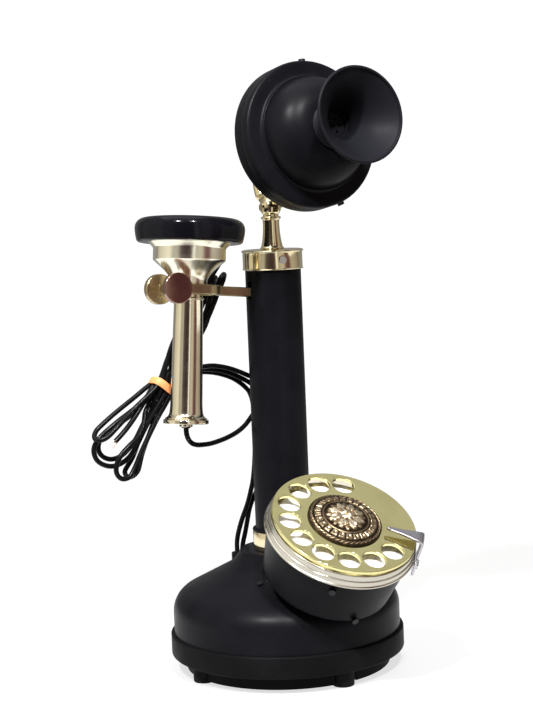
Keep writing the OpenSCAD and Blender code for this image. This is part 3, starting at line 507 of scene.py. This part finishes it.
def add_base():
    shell = (OUTSIDE + arc(21.0, NECK_Z - 0.6, 0.6, 25, 90, 4) + [(10.1, NECK_Z), (10.1, NECK_Z - 4),
             (SWEEP_X + (SWEEP_R + 2) * math.cos(RAD(213)), NECK_Z - 4)] + dome_profile(2, 213)[::-1])
    place(lathe("base_dome", shell, Matrix.Identity(4), 192), "stand", BLACK, "black_paint", ("base_shell",))
    rim = ([(44, RIM_Z)] + arc(60.0, RIM_Z + 1.0, 1.0, -90, 0, 5) + arc(60.1, RIM_TOP - 0.9, 0.9, 0, 90, 6)
           + [(WALL_R + 0.1, RIM_TOP), (WALL_R + 0.1, RIM_Z + 2), (44, RIM_Z + 2)])
    place(lathe("base_rim_band", rim, Matrix.Identity(4), 192), "stand", RIM, "rim_paint", ("base_rim",))

    # the pedestal under the drum flares into the dome all round
    centre = AT_DIAL @ shift(0, 7, -37.4)
    rings = []
    count = 120
    for k in range(count):
        a = 2 * math.pi * k / count
        out = Vector((math.cos(a), math.sin(a), 0))

        def down_to_dome(r, lift):
            depth = 0.0
            while depth > -26:
                p = (centre @ (out * r * MM + Vector((0, 0, depth * MM)))) / MM
                if p.z < dome_height(math.hypot(p.x, p.y)) + lift:
                    break
                depth -= 0.1
            return depth

        low = down_to_dome(22.5, 0)
        foot = down_to_dome(27.5, -0.35)
        line = smooth([(21.6, 0.4), (21.7, low * 0.35), (22.4, low * 0.8 - 0.1),
                       (24.3, (low + foot) / 2 + 0.35), (27.5, foot)], 5)
        rings.append([centre @ Vector((out.x * r * MM, out.y * r * MM, z * MM)) for r, z in line])
    per = len(rings[0])
    verts = [p for ring in rings for p in ring]
    faces = []
    for k in range(count):
        j = (k + 1) % count
        for i in range(per - 1):
            faces.append([k * per + i, j * per + i, j * per + i + 1, k * per + i + 1])
    faces.append([k * per for k in range(count)][::-1])
    faces.append([k * per + per - 1 for k in range(count)])
    pedestal = bpy.data.objects.new("dial_pedestal", mesh_of("dial_pedestal", verts, faces))
    place(pedestal, "stand", BLACK, "black_paint")

    low_collar = [(10.1, NECK_Z), (15.6, NECK_Z)] + arc(15.7, NECK_Z + 0.5, 0.3, -90, 0, 3) \
        + arc(15.7, NECK_Z + 9.7, 0.3, 0, 90, 3) + [(10.1, NECK_Z + 10.2)]
    place(lathe("collar_low", low_collar, Matrix.Identity(4)), "stand", BRASS, "brass", ("lower_collar",))


def cut(obj, cutter):
    """Subtract a helper mesh from a piece and drop the helper."""
    bpy.context.scene.collection.objects.link(cutter)
    mod = obj.modifiers.new("cut", "BOOLEAN")
    mod.operation = "DIFFERENCE"
    mod.solver = "EXACT"
    mod.object = cutter
    bpy.context.view_layer.update()
    done = bpy.data.meshes.new_from_object(obj.evaluated_get(bpy.context.evaluated_depsgraph_get()))
    obj.modifiers.clear()
    obj.data = done
    done.polygons.foreach_set("use_smooth", [True] * len(done.polygons))
    done.set_sharp_from_angle(angle=RAD(38))
    bpy.data.objects.remove(cutter)


def add_column():
    top, low = 217.8, 207.6
    collar = ([(14.45, low)] + arc(15.5, low + 0.3, 0.3, -90, 0, 3) + [(15.4, low + 0.7), (15.4, top - 1.5)]
              + arc(15.6, top - 0.75, 0.45, -90, 90, 8)
              + [(15.0, top), (4.05, top), (4.05, top - 2), (14.45, top - 2)])
    place(lathe("collar_top", collar, Matrix.Identity(4)), "stand", BRASS, "brass", ("top_collar",))
    waist_r = 4.2
    post = ([(0, -8), (4, -8), (4, 0), (5.6, 0)] + arc(5.7, 0.6, 0.5, -90, 60, 5)
            + smooth([(5.6, 1.4), (5.0, 4.2), (4.5, 8), (4.25, 12), (4.3, 14.6)], 5)
            + [(waist_r + 0.2, 15.2)] + arc(waist_r + 0.2, 16.1, 0.75, -80, 80, 8)
            + [(waist_r - 0.2, 17.0), (waist_r - 0.2, 17.8), (0, 17.8)])
    body = lathe("swivel_stem", post, shift(0, 0, top), 96)
    place(body, "stand", BRASS, "brass", ("swivel_post",))
    ball = lathe("swivel_ball", [(0, -5.5)] + arc(0, 0, 5.5, -86, 86, 40) + [(0, 5.5)],
                 shift(0, 0, BALL_Z), 96, closed=False)
    place(ball, "stand", BRASS, "brass")
    for name, xs, zs in (("slot", (-1.6, 1.6), (-2.7, 9)), ("flat_left", (-9, -4.8), (-9, 9)),
                         ("flat_right", (4.8, 9), (-9, 9))):
        cut(ball, bpy.data.objects.new(
            name, mesh_of(name, *box_mesh(xs, (-10, 10), zs, shift(0, 0, BALL_Z)))))


def box_mesh(xs, ys, zs, at):
    verts = [at @ Vector((x * MM, y * MM, z * MM)) for z in zs for y in ys for x in xs]
    faces = [[0, 1, 3, 2], [4, 6, 7, 5], [0, 4, 5, 1], [2, 3, 7, 6], [0, 2, 6, 4], [1, 5, 7, 3]]
    return verts, faces


# ---------------------------------------------------------------- hook and receiver
def add_hook():
    u_x, prong, disc_y, disc_x, half, high = 43.7, 9.6, 10.3, 60.9, 1.5, 2.45
    outer, inner = prong + half, prong - half
    lean = math.degrees(math.asin(half / outer))
    side = [(9, half)] + arc(-u_x, 0, outer, lean, 90, 16) + [(-disc_x - 1, outer), (-disc_x - 1, inner)]
    outline = side + arc(-u_x, 0, inner, 90, -90, 28) + [(x, -y) for x, y in side[::-1]]
    count = len(outline)
    verts = [AT_FORK @ Vector((x * MM, y * MM, z * MM)) for z in (-high, high) for x, y in outline]
    faces = [list(range(count))[::-1], [count + i for i in range(count)]]
    faces += [[i, (i + 1) % count, count + (i + 1) % count, count + i] for i in range(count)]
    bar = bpy.data.objects.new("hook_bar", mesh_of("hook_bar", verts, faces))
    bevel = bar.modifiers.new("edges", "BEVEL")
    bevel.width = 0.45 * MM
    bevel.segments = 3
    bevel.limit_method = "ANGLE"
    bevel.angle_limit = RAD(50)
    place(bar, "hook", OLIVE, "hook_brass", ("hook_fork",))
    # the front disc takes the reddish copy with its painted reflection; the back disc keeps the plain hook
    # brass
    for sign, name, finish in ((-1, "front", FRONT_DISC_PAINTED_REFLECTION), (1, "back", OLIVE)):
        at = AT_FORK @ shift(-disc_x, sign * disc_y, 0) @ rot(90, "X")
        profile = [(0, -1.8)] + arc(7.2, -1.3, 0.5, -90, 0, 4) + arc(7.2, 1.3, 0.5, 0, 90, 4) + [(0, 1.8)]
        place(lathe("hook_disc_" + name, profile, at, 96, closed=False), "hook", finish, "hook_brass")


def add_receiver():
    tube = ([(5.6, -65), (10.4, -65), (10.7, -64.7)]
            + smooth([(10.4, -64.3), (9.2, -63.4), (8.5, -61.8), (8.1, -58)], 5)
            + [(7.3, -5.4)] + arc(7.3, -4.6, 0.55, -70, 70, 7) + [(7.15, -3.8), (7.05, 2.5), (8.9, 2.5)]
            + arc(8.9, 2.8, 0.3, -90, 0, 3) + [(9.2, 3.6), (5.6, 3.6)])
    place(lathe("handle_tube", tube, AT_RECEIVER), "receiver", PALE, "pale_brass", ("receiver_tube",))
    cone = smooth([(9.2, 3.6), (9.5, 5.2), (10.7, 7.3), (13.0, 9.9), (18.0, 14.3)], 5)
    cup = (cone + arc(17.7, 14.9, 0.6, -45, 0, 3) + [(18.3, 20.3), (18.6, 21.0), (20.6, 23.0)]
           + arc(20.5, 23.6, 0.4, -45, 0, 3)
           + [(20.9, 24.6), (19, 24.6), (16.8, 21), (16.8, 15.6), (9, 7.6), (8, 3.6)])
    place(lathe("ear_cup", cup, AT_RECEIVER), "receiver", CUP, "pale_brass", ("receiver_cup",))
    cap = ([(21.0, 23.3), (25.2, 23.3)]
           + smooth([(25.9, 23.4), (26.6, 24.0), (27.0, 25.2), (27.35, 26.8), (27.65, 28.8), (27.7, 30.6),
                     (27.3, 32.4), (26.0, 34.2), (23.6, 35.3), (20.4, 35.3)], 5)
           + smooth([(19.8, 35.1), (14, 34.0), (8, 33.4), (5.2, 33.2)], 4) + arc(4.6, 32.7, 0.6, 80, 180, 4)
           + [(4.0, 31.8), (16, 32.0), (21.0, 31.6)])
    place(lathe("ear_cap_turned", cap, AT_RECEIVER, 160), "receiver", GLOSS, "gloss_black", ("ear_cap",))
    tail = ([(2.4, -68.8), (3.1, -68.8), (3.3, -68.6), (3.3, -67.4), (3.9, -67.2), (10.9, -67.2)]
            + arc(11.0, -66.8, 0.4, -90, 0, 3) + arc(11.0, -65.5, 0.4, 0, 90, 3) + [(2.4, -65.1)])
    place(lathe("handle_foot", tail, AT_RECEIVER), "receiver", PALE, "pale_brass", ("receiver_tail",))
    relief = [(0, -60), (2.3, -60), (2.3, -68.4)] + arc(1.9, -69.0, 0.4, 0, -90, 3) + [(0, -69.4)]
    place(lathe("cord_bush", relief, AT_RECEIVER, 48), "receiver", RUBBER, "foot_rubber",
          ("receiver_cord_relief",))


# ---------------------------------------------------------------- transmitter
def add_transmitter():
    case_r = 36.5
    bowl = smooth([(9, 15), (14, 15.7), (20, 17.5), (26, 20.5), (31, 24.3), (34.3, 28.2), (35.9, 31.4)], 6)
    back = ([(3.4, 15)] + bowl + arc(case_r - 0.5, 32.2, 0.5, -60, 0, 3)
            + [(case_r, 37.8), (case_r - 1.5, 37.8), (case_r - 1.9, 32)]
            + [(r - 1.4, z + 1.3) for r, z in bowl[::-1] if r > 10] + [(3.4, 16.4)])
    place(lathe("case_back", back, AT_CASE, 192), "transmitter", BLACK, "black_paint", ("transmitter_back",))
    foot_r, foot_s = 27.6, 46.2
    shell = [(10 + (foot_r - 10) * math.cos(RAD(a)), foot_s + 17.4 * math.sin(RAD(a)))
             for a in range(0, 81, 4)]
    face = ([(case_r - 1.6, 37.9), (case_r - 0.3, 37.9)] + arc(case_r - 0.3, 38.2, 0.3, -90, 0, 2)
            + arc(case_r - 1.6, 42.9, 1.6, 0, 80, 7)
            + smooth([(33, 44.55), (30.5, 44.75), (29.2, 45.0), (28.5, 45.7)], 4)
            + arc(28.0, 46.0, 0.35, 20, 90, 3) + shell
            + [(9.7, foot_s + 17.3), (9.7, foot_s + 13)]
            + [(10 + (foot_r - 12.4) * math.cos(RAD(a)), foot_s - 1 + 16.2 * math.sin(RAD(a)))
               for a in range(72, -1, -6)]
            + [(27, 43.2), (case_r - 1.6, 42.4)])
    place(lathe("case_face", face, AT_CASE, 192), "transmitter", BLACK, "black_paint", ("transmitter_face",))
    mouth_r = 23.3
    outer = smooth([(10.2, 65.0), (9.7, 66.2), (9.7, 69), (10.7, 72.4), (12.3, 76), (14.5, 79.6), (17.3, 83),
                    (20.4, 85.9), (22.6, 87.5)], 6)
    inner = smooth([(7.0, 65.4), (7.4, 69), (8.9, 73), (11.0, 77), (13.6, 80.6), (16.6, 83.8), (19.8, 86.7),
                    (21.6, 88.1)], 6)
    horn = ([(6.6, 60), (9.6, 60), (9.6, 63.8), (11.2, 63.8)] + arc(11.1, 64.3, 0.4, -60, 60, 4) + outer
            + arc(mouth_r - 0.85, 88.4, 0.85, -50, 130, 12) + inner[::-1] + [(6.6, 65)])
    place(lathe("mouth_horn", horn, AT_CASE, 192), "transmitter", HORN, "mouth_plastic", ("mouthpiece",))


# ---------------------------------------------------------------- dial
def relief(r, a):
    """Height of the medallion's ornament: rope edge, a ring of squares, and an eight-petalled rosette."""
    height = 0.0
    if 16.6 < r < 18.3:
        strands = 0.55 + 0.45 * math.cos(44 * a + 5 * r)
        height += 0.55 * max(0.0, math.cos((r - 17.45) / 0.85 * math.pi / 2)) * strands
    if 12.4 < r < 16.0:
        cell = (a / (2 * math.pi) * 24) % 1.0
        across, along = abs(cell - 0.5) * 2, abs(r - 14.2) / 1.7
        edge_of = max(across * 1.15, along)
        if edge_of < 1:
            height += (0.5 * min(1.0, (1 - edge_of) * 5)
                       - 0.38 * max(0.0, 1 - math.hypot(across * 1.4, along) * 1.6))
    if 11.0 < r < 12.3:
        height += 0.28 * math.cos((r - 11.65) / 0.65 * math.pi / 2)
    if r < 11.0:
        petal = abs(math.cos(4 * a))
        reach = 3.6 + 6.6 * petal ** 0.6
        if r < reach:
            ridge = 1 - abs(math.sin(4 * a)) ** 0.8
            height += 0.85 * min(1.0, (reach - r) * 0.9) * (0.45 + 0.55 * ridge)
            height -= 0.30 * ridge ** 6 * min(1.0, r / 5)
        leaf = abs(math.sin(4 * a))
        if 5.0 < r < 6.0 + 4.4 * leaf ** 2:
            height += 0.38 * leaf * min(1.0, (6.0 + 4.4 * leaf ** 2 - r) * 1.2)
    if r < 3.2:
        height += 0.8 * math.sqrt(max(0.0, 1 - (r / 3.2) ** 2)) + 0.12 * math.cos(12 * a) * min(1, r / 2)
    return height


def add_medallion():
    edge_r, rise, rings_n, around = 18.7, 3.0, 110, 480
    verts, faces, heights = [], [], []
    for i in range(rings_n + 1):
        r = edge_r * i / rings_n
        dome = 0.9 + rise * math.cos(math.pi / 2 * (r / edge_r)) ** 0.9
        for k in range(around if i else 1):
            a = 2 * math.pi * k / around
            h = relief(r, a)
            heights.append(h)
            z = dome + h * 1.15
            verts.append(AT_DIAL @ Vector((r * math.cos(a) * MM, r * math.sin(a) * MM, z * MM)))
    base = len(verts)
    for k in range(around):
        a = 2 * math.pi * k / around
        verts.append(AT_DIAL @ Vector((edge_r * math.cos(a) * MM, edge_r * math.sin(a) * MM, 0.02 * MM)))
        heights.append(0.0)

    def at(i, k):
        return 0 if i == 0 else 1 + (i - 1) * around + k % around

    for k in range(around):
        faces.append([at(0, 0), at(1, k), at(1, k + 1)])
        for i in range(1, rings_n):
            faces.append([at(i, k), at(i + 1, k), at(i + 1, k + 1), at(i, k + 1)])
        faces.append([at(rings_n, k), base + k, base + (k + 1) % around, at(rings_n, k + 1)])
    faces.append([base + k for k in range(around)][::-1])
    mesh = bpy.data.meshes.new("medallion_relief")
    mesh.from_pydata(verts, [], faces)
    mesh.polygons.foreach_set("use_smooth", [True] * len(mesh.polygons))
    mesh.set_sharp_from_angle(angle=RAD(60))
    worn = mesh.attributes.new("height", "FLOAT", "POINT")
    worn.data.foreach_set("value", heights)
    n = Nodes("antique_medallion")
    height = n.add("ShaderNodeAttribute", attribute_name="height").outputs["Fac"]
    grime = n.ramp(n.add_up(height, n.ramp(n.noise(260, 4), 0.3, 0.7, -0.12, 0.12)), 0.04, 0.50)
    high = n.ramp(height, 0.40, 0.85)
    bronze = n.mix(grime, (0.022, 0.015, 0.009), (0.40, 0.29, 0.17))
    n.link(n.mix(high, bronze, (0.92, 0.80, 0.60)), n.bsdf.inputs["Base Color"])
    n.bsdf.inputs["Metallic"].default_value = 1.0
    n.link(n.ramp(grime, 0, 1, 0.55, 0.18), n.bsdf.inputs["Roughness"])
    n.link(n.bump(n.noise(1400, 3), 0.18, 0.0001), n.bsdf.inputs["Normal"])
    obj = bpy.data.objects.new("medallion_relief", mesh)
    place(obj, "dial_wheel", n.mat, "antique_bronze", ("medallion",))


def add_wheel():
    wheel_r, thick, ring_r, hole_r, edge_w = 36.8, 1.8, 28.5, 5.7, 0.35
    curve = bpy.data.curves.new("wheel_outline", "CURVE")
    curve.dimensions = "2D"
    curve.fill_mode = "BOTH"
    curve.extrude = (thick / 2 - edge_w) * MM
    curve.bevel_depth = edge_w * MM
    curve.bevel_resolution = 3
    centres = [(0, 0, wheel_r - edge_w, 192)]
    for i in range(10):
        a = RAD(62 + 26.2 * i)
        centres.append((ring_r * math.cos(a), ring_r * math.sin(a), hole_r + edge_w, 64))
    for cx, cy, r, n in centres:
        spline = curve.splines.new("POLY")
        spline.points.add(n - 1)
        for k, point in enumerate(spline.points):
            a = 2 * math.pi * k / n
            point.co = ((cx + r * math.cos(a)) * MM, (cy + r * math.sin(a)) * MM, 0, 1)
        spline.use_cyclic_u = True
    helper = bpy.data.objects.new("wheel_outline", curve)
    bpy.context.scene.collection.objects.link(helper)
    bpy.context.view_layer.update()
    mesh = bpy.data.meshes.new_from_object(helper.evaluated_get(bpy.context.evaluated_depsgraph_get()))
    bpy.data.objects.remove(helper)
    mesh.transform(AT_DIAL @ shift(0, 0, -thick / 2))
    mesh.polygons.foreach_set("use_smooth", [True] * len(mesh.polygons))
    mesh.set_sharp_from_angle(angle=RAD(30))
    wheel = bpy.data.objects.new("finger_wheel_plate", mesh)
    place(wheel, "dial_wheel", WHEEL, "wheel_brass", ("finger_wheel",))


def add_dial():
    wheel_r = 36.8
    bezel = ([(34.7, -9.6), (wheel_r + 1.5, -9.6)] + arc(wheel_r + 1.5, -9.3, 0.3, -90, 0, 3)
             + arc(wheel_r + 1.5, -8.9, 0.3, 0, 80, 3) + [(wheel_r + 1.25, -8.4), (wheel_r + 1.25, -6.2)]
             + arc(wheel_r + 1.0, -6.0, 0.25, 0, 80, 3) + [(wheel_r + 0.65, -5.6), (wheel_r + 0.6, -3.2)]
             + arc(wheel_r + 0.1, -3.0, 0.5, 0, 90, 5) + [(wheel_r - 1.3, -2.5)]
             + [(wheel_r - 1.8, -5.6), (33.2, -5.6), (33.2, -6.6), (30, -6.6), (30, -11.3), (34.7, -11.3)])
    place(lathe("dial_bezel_ring", bezel, AT_DIAL, 192), "stand", CHROME, "bezel_silver", ("dial_bezel",))
    drum = ([(0, -37.4), (29.6, -37.4)] + arc(29.9, -34.4, 3.0, -90, -8, 9) + [(37.0, -9.65), (35.2, -9.65),
            (31.1, -35.6), (0, -35.6)])
    body = lathe("dial_drum", drum, AT_DIAL, 192, closed=False)
    place(body, "stand", BLACK, "black_paint", ("dial_housing",))
    clear = lathe("clear", [(0, 20), (16.6, 20), (16.6, 140), (0, 140)], Matrix.Identity(4), 96, closed=False)
    cut(body, clear)

    # finger stop: one strip bent down over the wheel's edge
    at = AT_DIAL @ rot(-36.5, "Z")
    line = [(20.8, 3.05, 0.5), (22.5, 3.05, 1.1), (29, 3.05, 1.9), (35.5, 3.05, 3.4),
            (38.2, 3.0, 4.1), (39.1, 2.6, 4.2),
            (39.5, 1.7, 4.1), (39.55, -1, 3.6), (39.55, -8.4, 3.4), (39.55, -9.0, 5.0), (39.55, -17, 5.2)]
    thick = 0.65
    verts, faces = [], []
    for i, (r, z, w) in enumerate(line):
        a, b = line[max(i - 1, 0)], line[min(i + 1, len(line) - 1)]
        run, drop = b[0] - a[0], b[1] - a[1]
        size = math.hypot(run, drop)
        nr, nz = -drop / size * thick, run / size * thick
        for s, w_s in ((1, -1), (1, 1), (-1, 1), (-1, -1)):
            verts.append(at @ Vector(((r + nr * s) * MM, w * w_s * MM, (z + nz * s) * MM)))
    for i in range(len(line) - 1):
        for k in range(4):
            j = (k + 1) % 4
            faces.append([4 * i + k, 4 * i + j, 4 * i + 4 + j, 4 * i + 4 + k])
    faces += [[3, 2, 1, 0], [4 * len(line) - 4 + k for k in range(4)]]
    stop = bpy.data.objects.new("finger_stop_strip", mesh_of("finger_stop_strip", verts, faces, 30))
    bevel = stop.modifiers.new("edges", "BEVEL")
    bevel.width = 0.18 * MM
    bevel.segments = 2
    bevel.limit_method = "ANGLE"
    bevel.angle_limit = RAD(40)
    place(stop, "stand", STOP, "stop_steel", ("finger_stop",))


# ---------------------------------------------------------------- the tie round the hank
def add_band():
    points = []
    centre, right, depth = Vector((-58.4, 16.2, 150.8)), Vector((0.796, 0, -0.605)), Vector((0, 1, 0))
    for k in range(64):
        a = 2 * math.pi * k / 64
        square = 3.2
        size = (abs(math.cos(a)) ** square + abs(math.sin(a)) ** square) ** (-1 / square)
        points.append((centre + right * (5.9 * size * math.cos(a)) + depth * (5.4 * size * math.sin(a))) * MM)
    along = Vector((0.605, 0, 0.796))
    verts, faces = [], []
    n = len(points)
    for i, p in enumerate(points):
        outward = (p / MM - centre).normalized()
        for da, do in ((-1.9, 0), (-1.9, 0.7), (-1.2, 0.95), (1.2, 0.95), (1.9, 0.7), (1.9, 0)):
            wave = 0.25 * math.sin(4 * math.pi * i / n)
            verts.append(p + (along * (da + wave) + outward * do) * MM)
    for i in range(n):
        j = (i + 1) % n
        for k in range(6):
            m = (k + 1) % 6
            faces.append([i * 6 + k, j * 6 + k, j * 6 + m, i * 6 + m])
    n_band = Nodes("orange_band")
    tone = n_band.ramp(n_band.noise(160, 4), 0.3, 0.7)
    n_band.link(n_band.mix(tone, (0.74, 0.26, 0.085), (0.86, 0.36, 0.14)), n_band.bsdf.inputs["Base Color"])
    n_band.link(n_band.ramp(n_band.noise(300, 3), 0.3, 0.7, 0.48, 0.66), n_band.bsdf.inputs["Roughness"])
    n_band.link(n_band.bump(n_band.noise(900, 3), 0.3, 0.0002), n_band.bsdf.inputs["Normal"])
    n_band.bsdf.inputs["Subsurface Weight"].default_value = 0.12
    n_band.bsdf.inputs["Subsurface Scale"].default_value = 0.001
    band = bpy.data.objects.new("rubber_band", mesh_of("rubber_band", verts, faces, 50))
    place(band, "stand", n_band.mat, "band_orange", ("hank_band",))


add_base()
add_column()
add_hook()
add_receiver()
add_transmitter()
add_medallion()
add_wheel()
add_dial()
add_band()

# CAD nodes that stay get the finish of their slot
FINISH = {
    # the cover under the base gets the black darkened further as painted shade
    "black_paint": BLACK, "rim_paint": RIM, "cover_plastic": COVER_PAINTED_SHADE, "foot_rubber": RUBBER,
    "gloss_black": GLOSS, "mouth_plastic": HORN, "brass": BRASS, "pale_brass": PALE,
    "wheel_brass": WHEEL, "hook_brass": OLIVE, "bezel_silver": CHROME, "steel": STEEL,
    "dark_steel": SCREW, "stop_steel": STOP, "cord_black": CORD,
    "plate_white": coated("number_plate_white", (0.70, 0.69, 0.70), (0.80, 0.79, 0.80), 0.30, 0.06,
                          bump=0.04),
    "dull_aluminium": metal("dull_aluminium", (0.55, 0.56, 0.58), (0.40, 0.41, 0.42), 0.4),
    "board_green": coated("board_green", (0.03, 0.12, 0.05), (0.05, 0.17, 0.08), 0.4, 0.08),
    "terminal_ivory": coated("terminal_ivory", (0.60, 0.56, 0.42), (0.70, 0.66, 0.52), 0.45),
    "brown_fibre": coated("brown_fibre", (0.12, 0.06, 0.03), (0.19, 0.10, 0.05), 0.6),
}
SLOT_OF = {s["node"]: s["material_slot"] for s in frame["record"]["subparts"]}
for node_name, node_obj in frame["nodes"].items():
    finish = FINISH.get(SLOT_OF.get(node_name))
    if finish is not None:
        node_obj.data.materials.clear()
        node_obj.data.materials.append(finish)


# ---------------------------------------------------------------- studio
# The room as reflected by the metals: direction round the object, in degrees to the right of the
# camera's own, and tone. It is fixed in the scene and doesn't follow the camera. The tones were set
# against the photograph.
ROOM = [(-180, (0.30, 0.30, 0.30)), (-132, (0.30, 0.30, 0.29)), (-118, (0.20, 0.18, 0.17)),
        (-108, (0.58, 0.55, 0.46)), (-62, (0.90, 0.86, 0.74)), (-50, (0.42, 0.40, 0.36)),
        (-34, (0.50, 0.48, 0.43)), (-27, (0.10, 0.075, 0.075)), (-4, (0.045, 0.030, 0.032)),
        (11, (0.09, 0.060, 0.060)), (14, (1.10, 1.08, 1.05)), (19, (1.10, 1.08, 1.05)),
        (22, (0.34, 0.31, 0.27)), (34, (0.60, 0.56, 0.48)), (45, (0.50, 0.44, 0.38)),
        (52, (0.17, 0.085, 0.085)), (68, (0.13, 0.060, 0.062)), (76, (0.46, 0.40, 0.34)),
        (84, (0.46, 0.41, 0.35)), (106, (0.34, 0.30, 0.26)), (118, (0.20, 0.18, 0.17)),
        (132, (0.30, 0.30, 0.29)), (180, (0.30, 0.30, 0.30))]


CEILING, CEILING_LOW, CEILING_HIGH = 0.55, 0.50, 0.92  # tone overhead, and where it starts and is complete
BACKDROP = 1.05
FLOOR_GLOW = 0.70


def add_world():
    """A room that only reflections see; the camera sees plain white instead.

    It is almost black round the camera but for a narrow bright strip at its right. It is bright at
    the left, grey at the right and dim behind."""
    world = bpy.data.worlds.new("studio")
    bpy.context.scene.world = world
    world.use_nodes = True
    tree = world.node_tree

    def add(kind, **values):
        node = tree.nodes.new(kind)
        for key, value in values.items():
            setattr(node, key, value)
        return node

    spin_by = add("ShaderNodeVectorRotate", rotation_type="Z_AXIS")
    spin_by.inputs["Angle"].default_value = RAD(-CAMERA_BEARING)
    tree.links.new(add("ShaderNodeTexCoord").outputs["Generated"], spin_by.inputs["Vector"])
    parts = add("ShaderNodeSeparateXYZ")
    tree.links.new(spin_by.outputs["Vector"], parts.inputs["Vector"])
    turn = add("ShaderNodeMath", operation="ARCTAN2")
    tree.links.new(parts.outputs["Y"], turn.inputs[0])
    tree.links.new(parts.outputs["X"], turn.inputs[1])
    share = add("ShaderNodeMapRange")
    share.inputs["From Min"].default_value = -math.pi
    share.inputs["From Max"].default_value = math.pi
    tree.links.new(turn.outputs["Value"], share.inputs["Value"])
    around = add("ShaderNodeValToRGB")
    stops = around.color_ramp.elements
    while len(stops) < len(ROOM):
        stops.new(0.5)
    for stop, (angle, tone) in zip(stops, ROOM):
        stop.position = (angle + 180) / 360
    for stop, (angle, tone) in zip(stops, ROOM):
        stop.color = (*tone, 1)
    tree.links.new(share.outputs["Result"], around.inputs["Fac"])
    overhead = add("ShaderNodeMapRange", interpolation_type="SMOOTHSTEP")
    overhead.inputs["From Min"].default_value = CEILING_LOW
    overhead.inputs["From Max"].default_value = CEILING_HIGH
    tree.links.new(parts.outputs["Z"], overhead.inputs["Value"])
    ceiling = add("ShaderNodeMix", data_type="RGBA")
    tree.links.new(overhead.outputs["Result"], ceiling.inputs["Factor"])
    tree.links.new(around.outputs["Color"], ceiling.inputs["A"])
    ceiling.inputs["B"].default_value = (CEILING, CEILING, CEILING, 1)
    seen = add("ShaderNodeMix", data_type="RGBA")
    tree.links.new(add("ShaderNodeLightPath").outputs["Is Camera Ray"], seen.inputs["Factor"])
    tree.links.new(ceiling.outputs["Result"], seen.inputs["A"])
    seen.inputs["B"].default_value = (BACKDROP, BACKDROP, BACKDROP, 1)
    tree.links.new(seen.outputs["Result"], tree.nodes["Background"].inputs["Color"])


def add_studio():
    bpy.context.scene.view_settings.view_transform = "Standard"
    facing = Matrix.Rotation(RAD(CAMERA_TURN), 4, "Z")
    side, near, far = 0.5, -0.16, 0.36
    corners = [facing @ Vector((x, y, 0))
               for x, y in ((-side, near), (side, near), (side, far), (-side, far))]
    floor = bpy.data.objects.new("floor", mesh_of("floor", corners, [[0, 1, 2, 3]]))
    bpy.context.scene.collection.objects.link(floor)
    n = Nodes("paper_floor")
    n.link(n.mix(n.ramp(n.noise(3, 2), 0.3, 0.7), (0.19, 0.19, 0.19), (0.21, 0.21, 0.21)),
           n.bsdf.inputs["Base Color"])
    n.link(n.ramp(n.noise(40, 3), 0.3, 0.7, 0.6, 0.75), n.bsdf.inputs["Roughness"])
    n.bsdf.inputs["Specular IOR Level"].default_value = 0.2
    n.bsdf.inputs["Emission Color"].default_value = (1, 1, 1, 1)
    n.bsdf.inputs["Emission Strength"].default_value = FLOOR_GLOW
    floor.data.materials.append(n.mat)
    add_world()

    def softbox(name, place_at, aim, size, power):
        light = bpy.data.lights.new(name, "AREA")
        light.shape = "RECTANGLE"
        light.size, light.size_y = size
        light.energy = power
        obj = bpy.data.objects.new(name, light)
        away = Vector(place_at) - Vector(aim)
        obj.matrix_world = Matrix.Translation(place_at) @ away.to_track_quat("Z", "Y").to_matrix().to_4x4()
        bpy.context.scene.collection.objects.link(obj)

    def lamp(name, right_of_camera, elevation, distance, size, power):
        turn, lift = RAD(CAMERA_BEARING + right_of_camera), RAD(elevation)
        at = Vector((math.cos(turn) * math.cos(lift), math.sin(turn) * math.cos(lift),
                     math.sin(lift))) * distance
        softbox(name, at + Vector((0, 0, 0.18)), (0, 0, 0.18), (size, size), power)

    lamp("lamp_left", -25, 46, 1.7, 0.11, 40)
    lamp("lamp_right", 12, 48, 1.7, 0.11, 34)
    softbox("top", (-0.2, 0.2, 2.0), (0, 0, 0.1), (1.6, 1.6), 12)


add_studio()
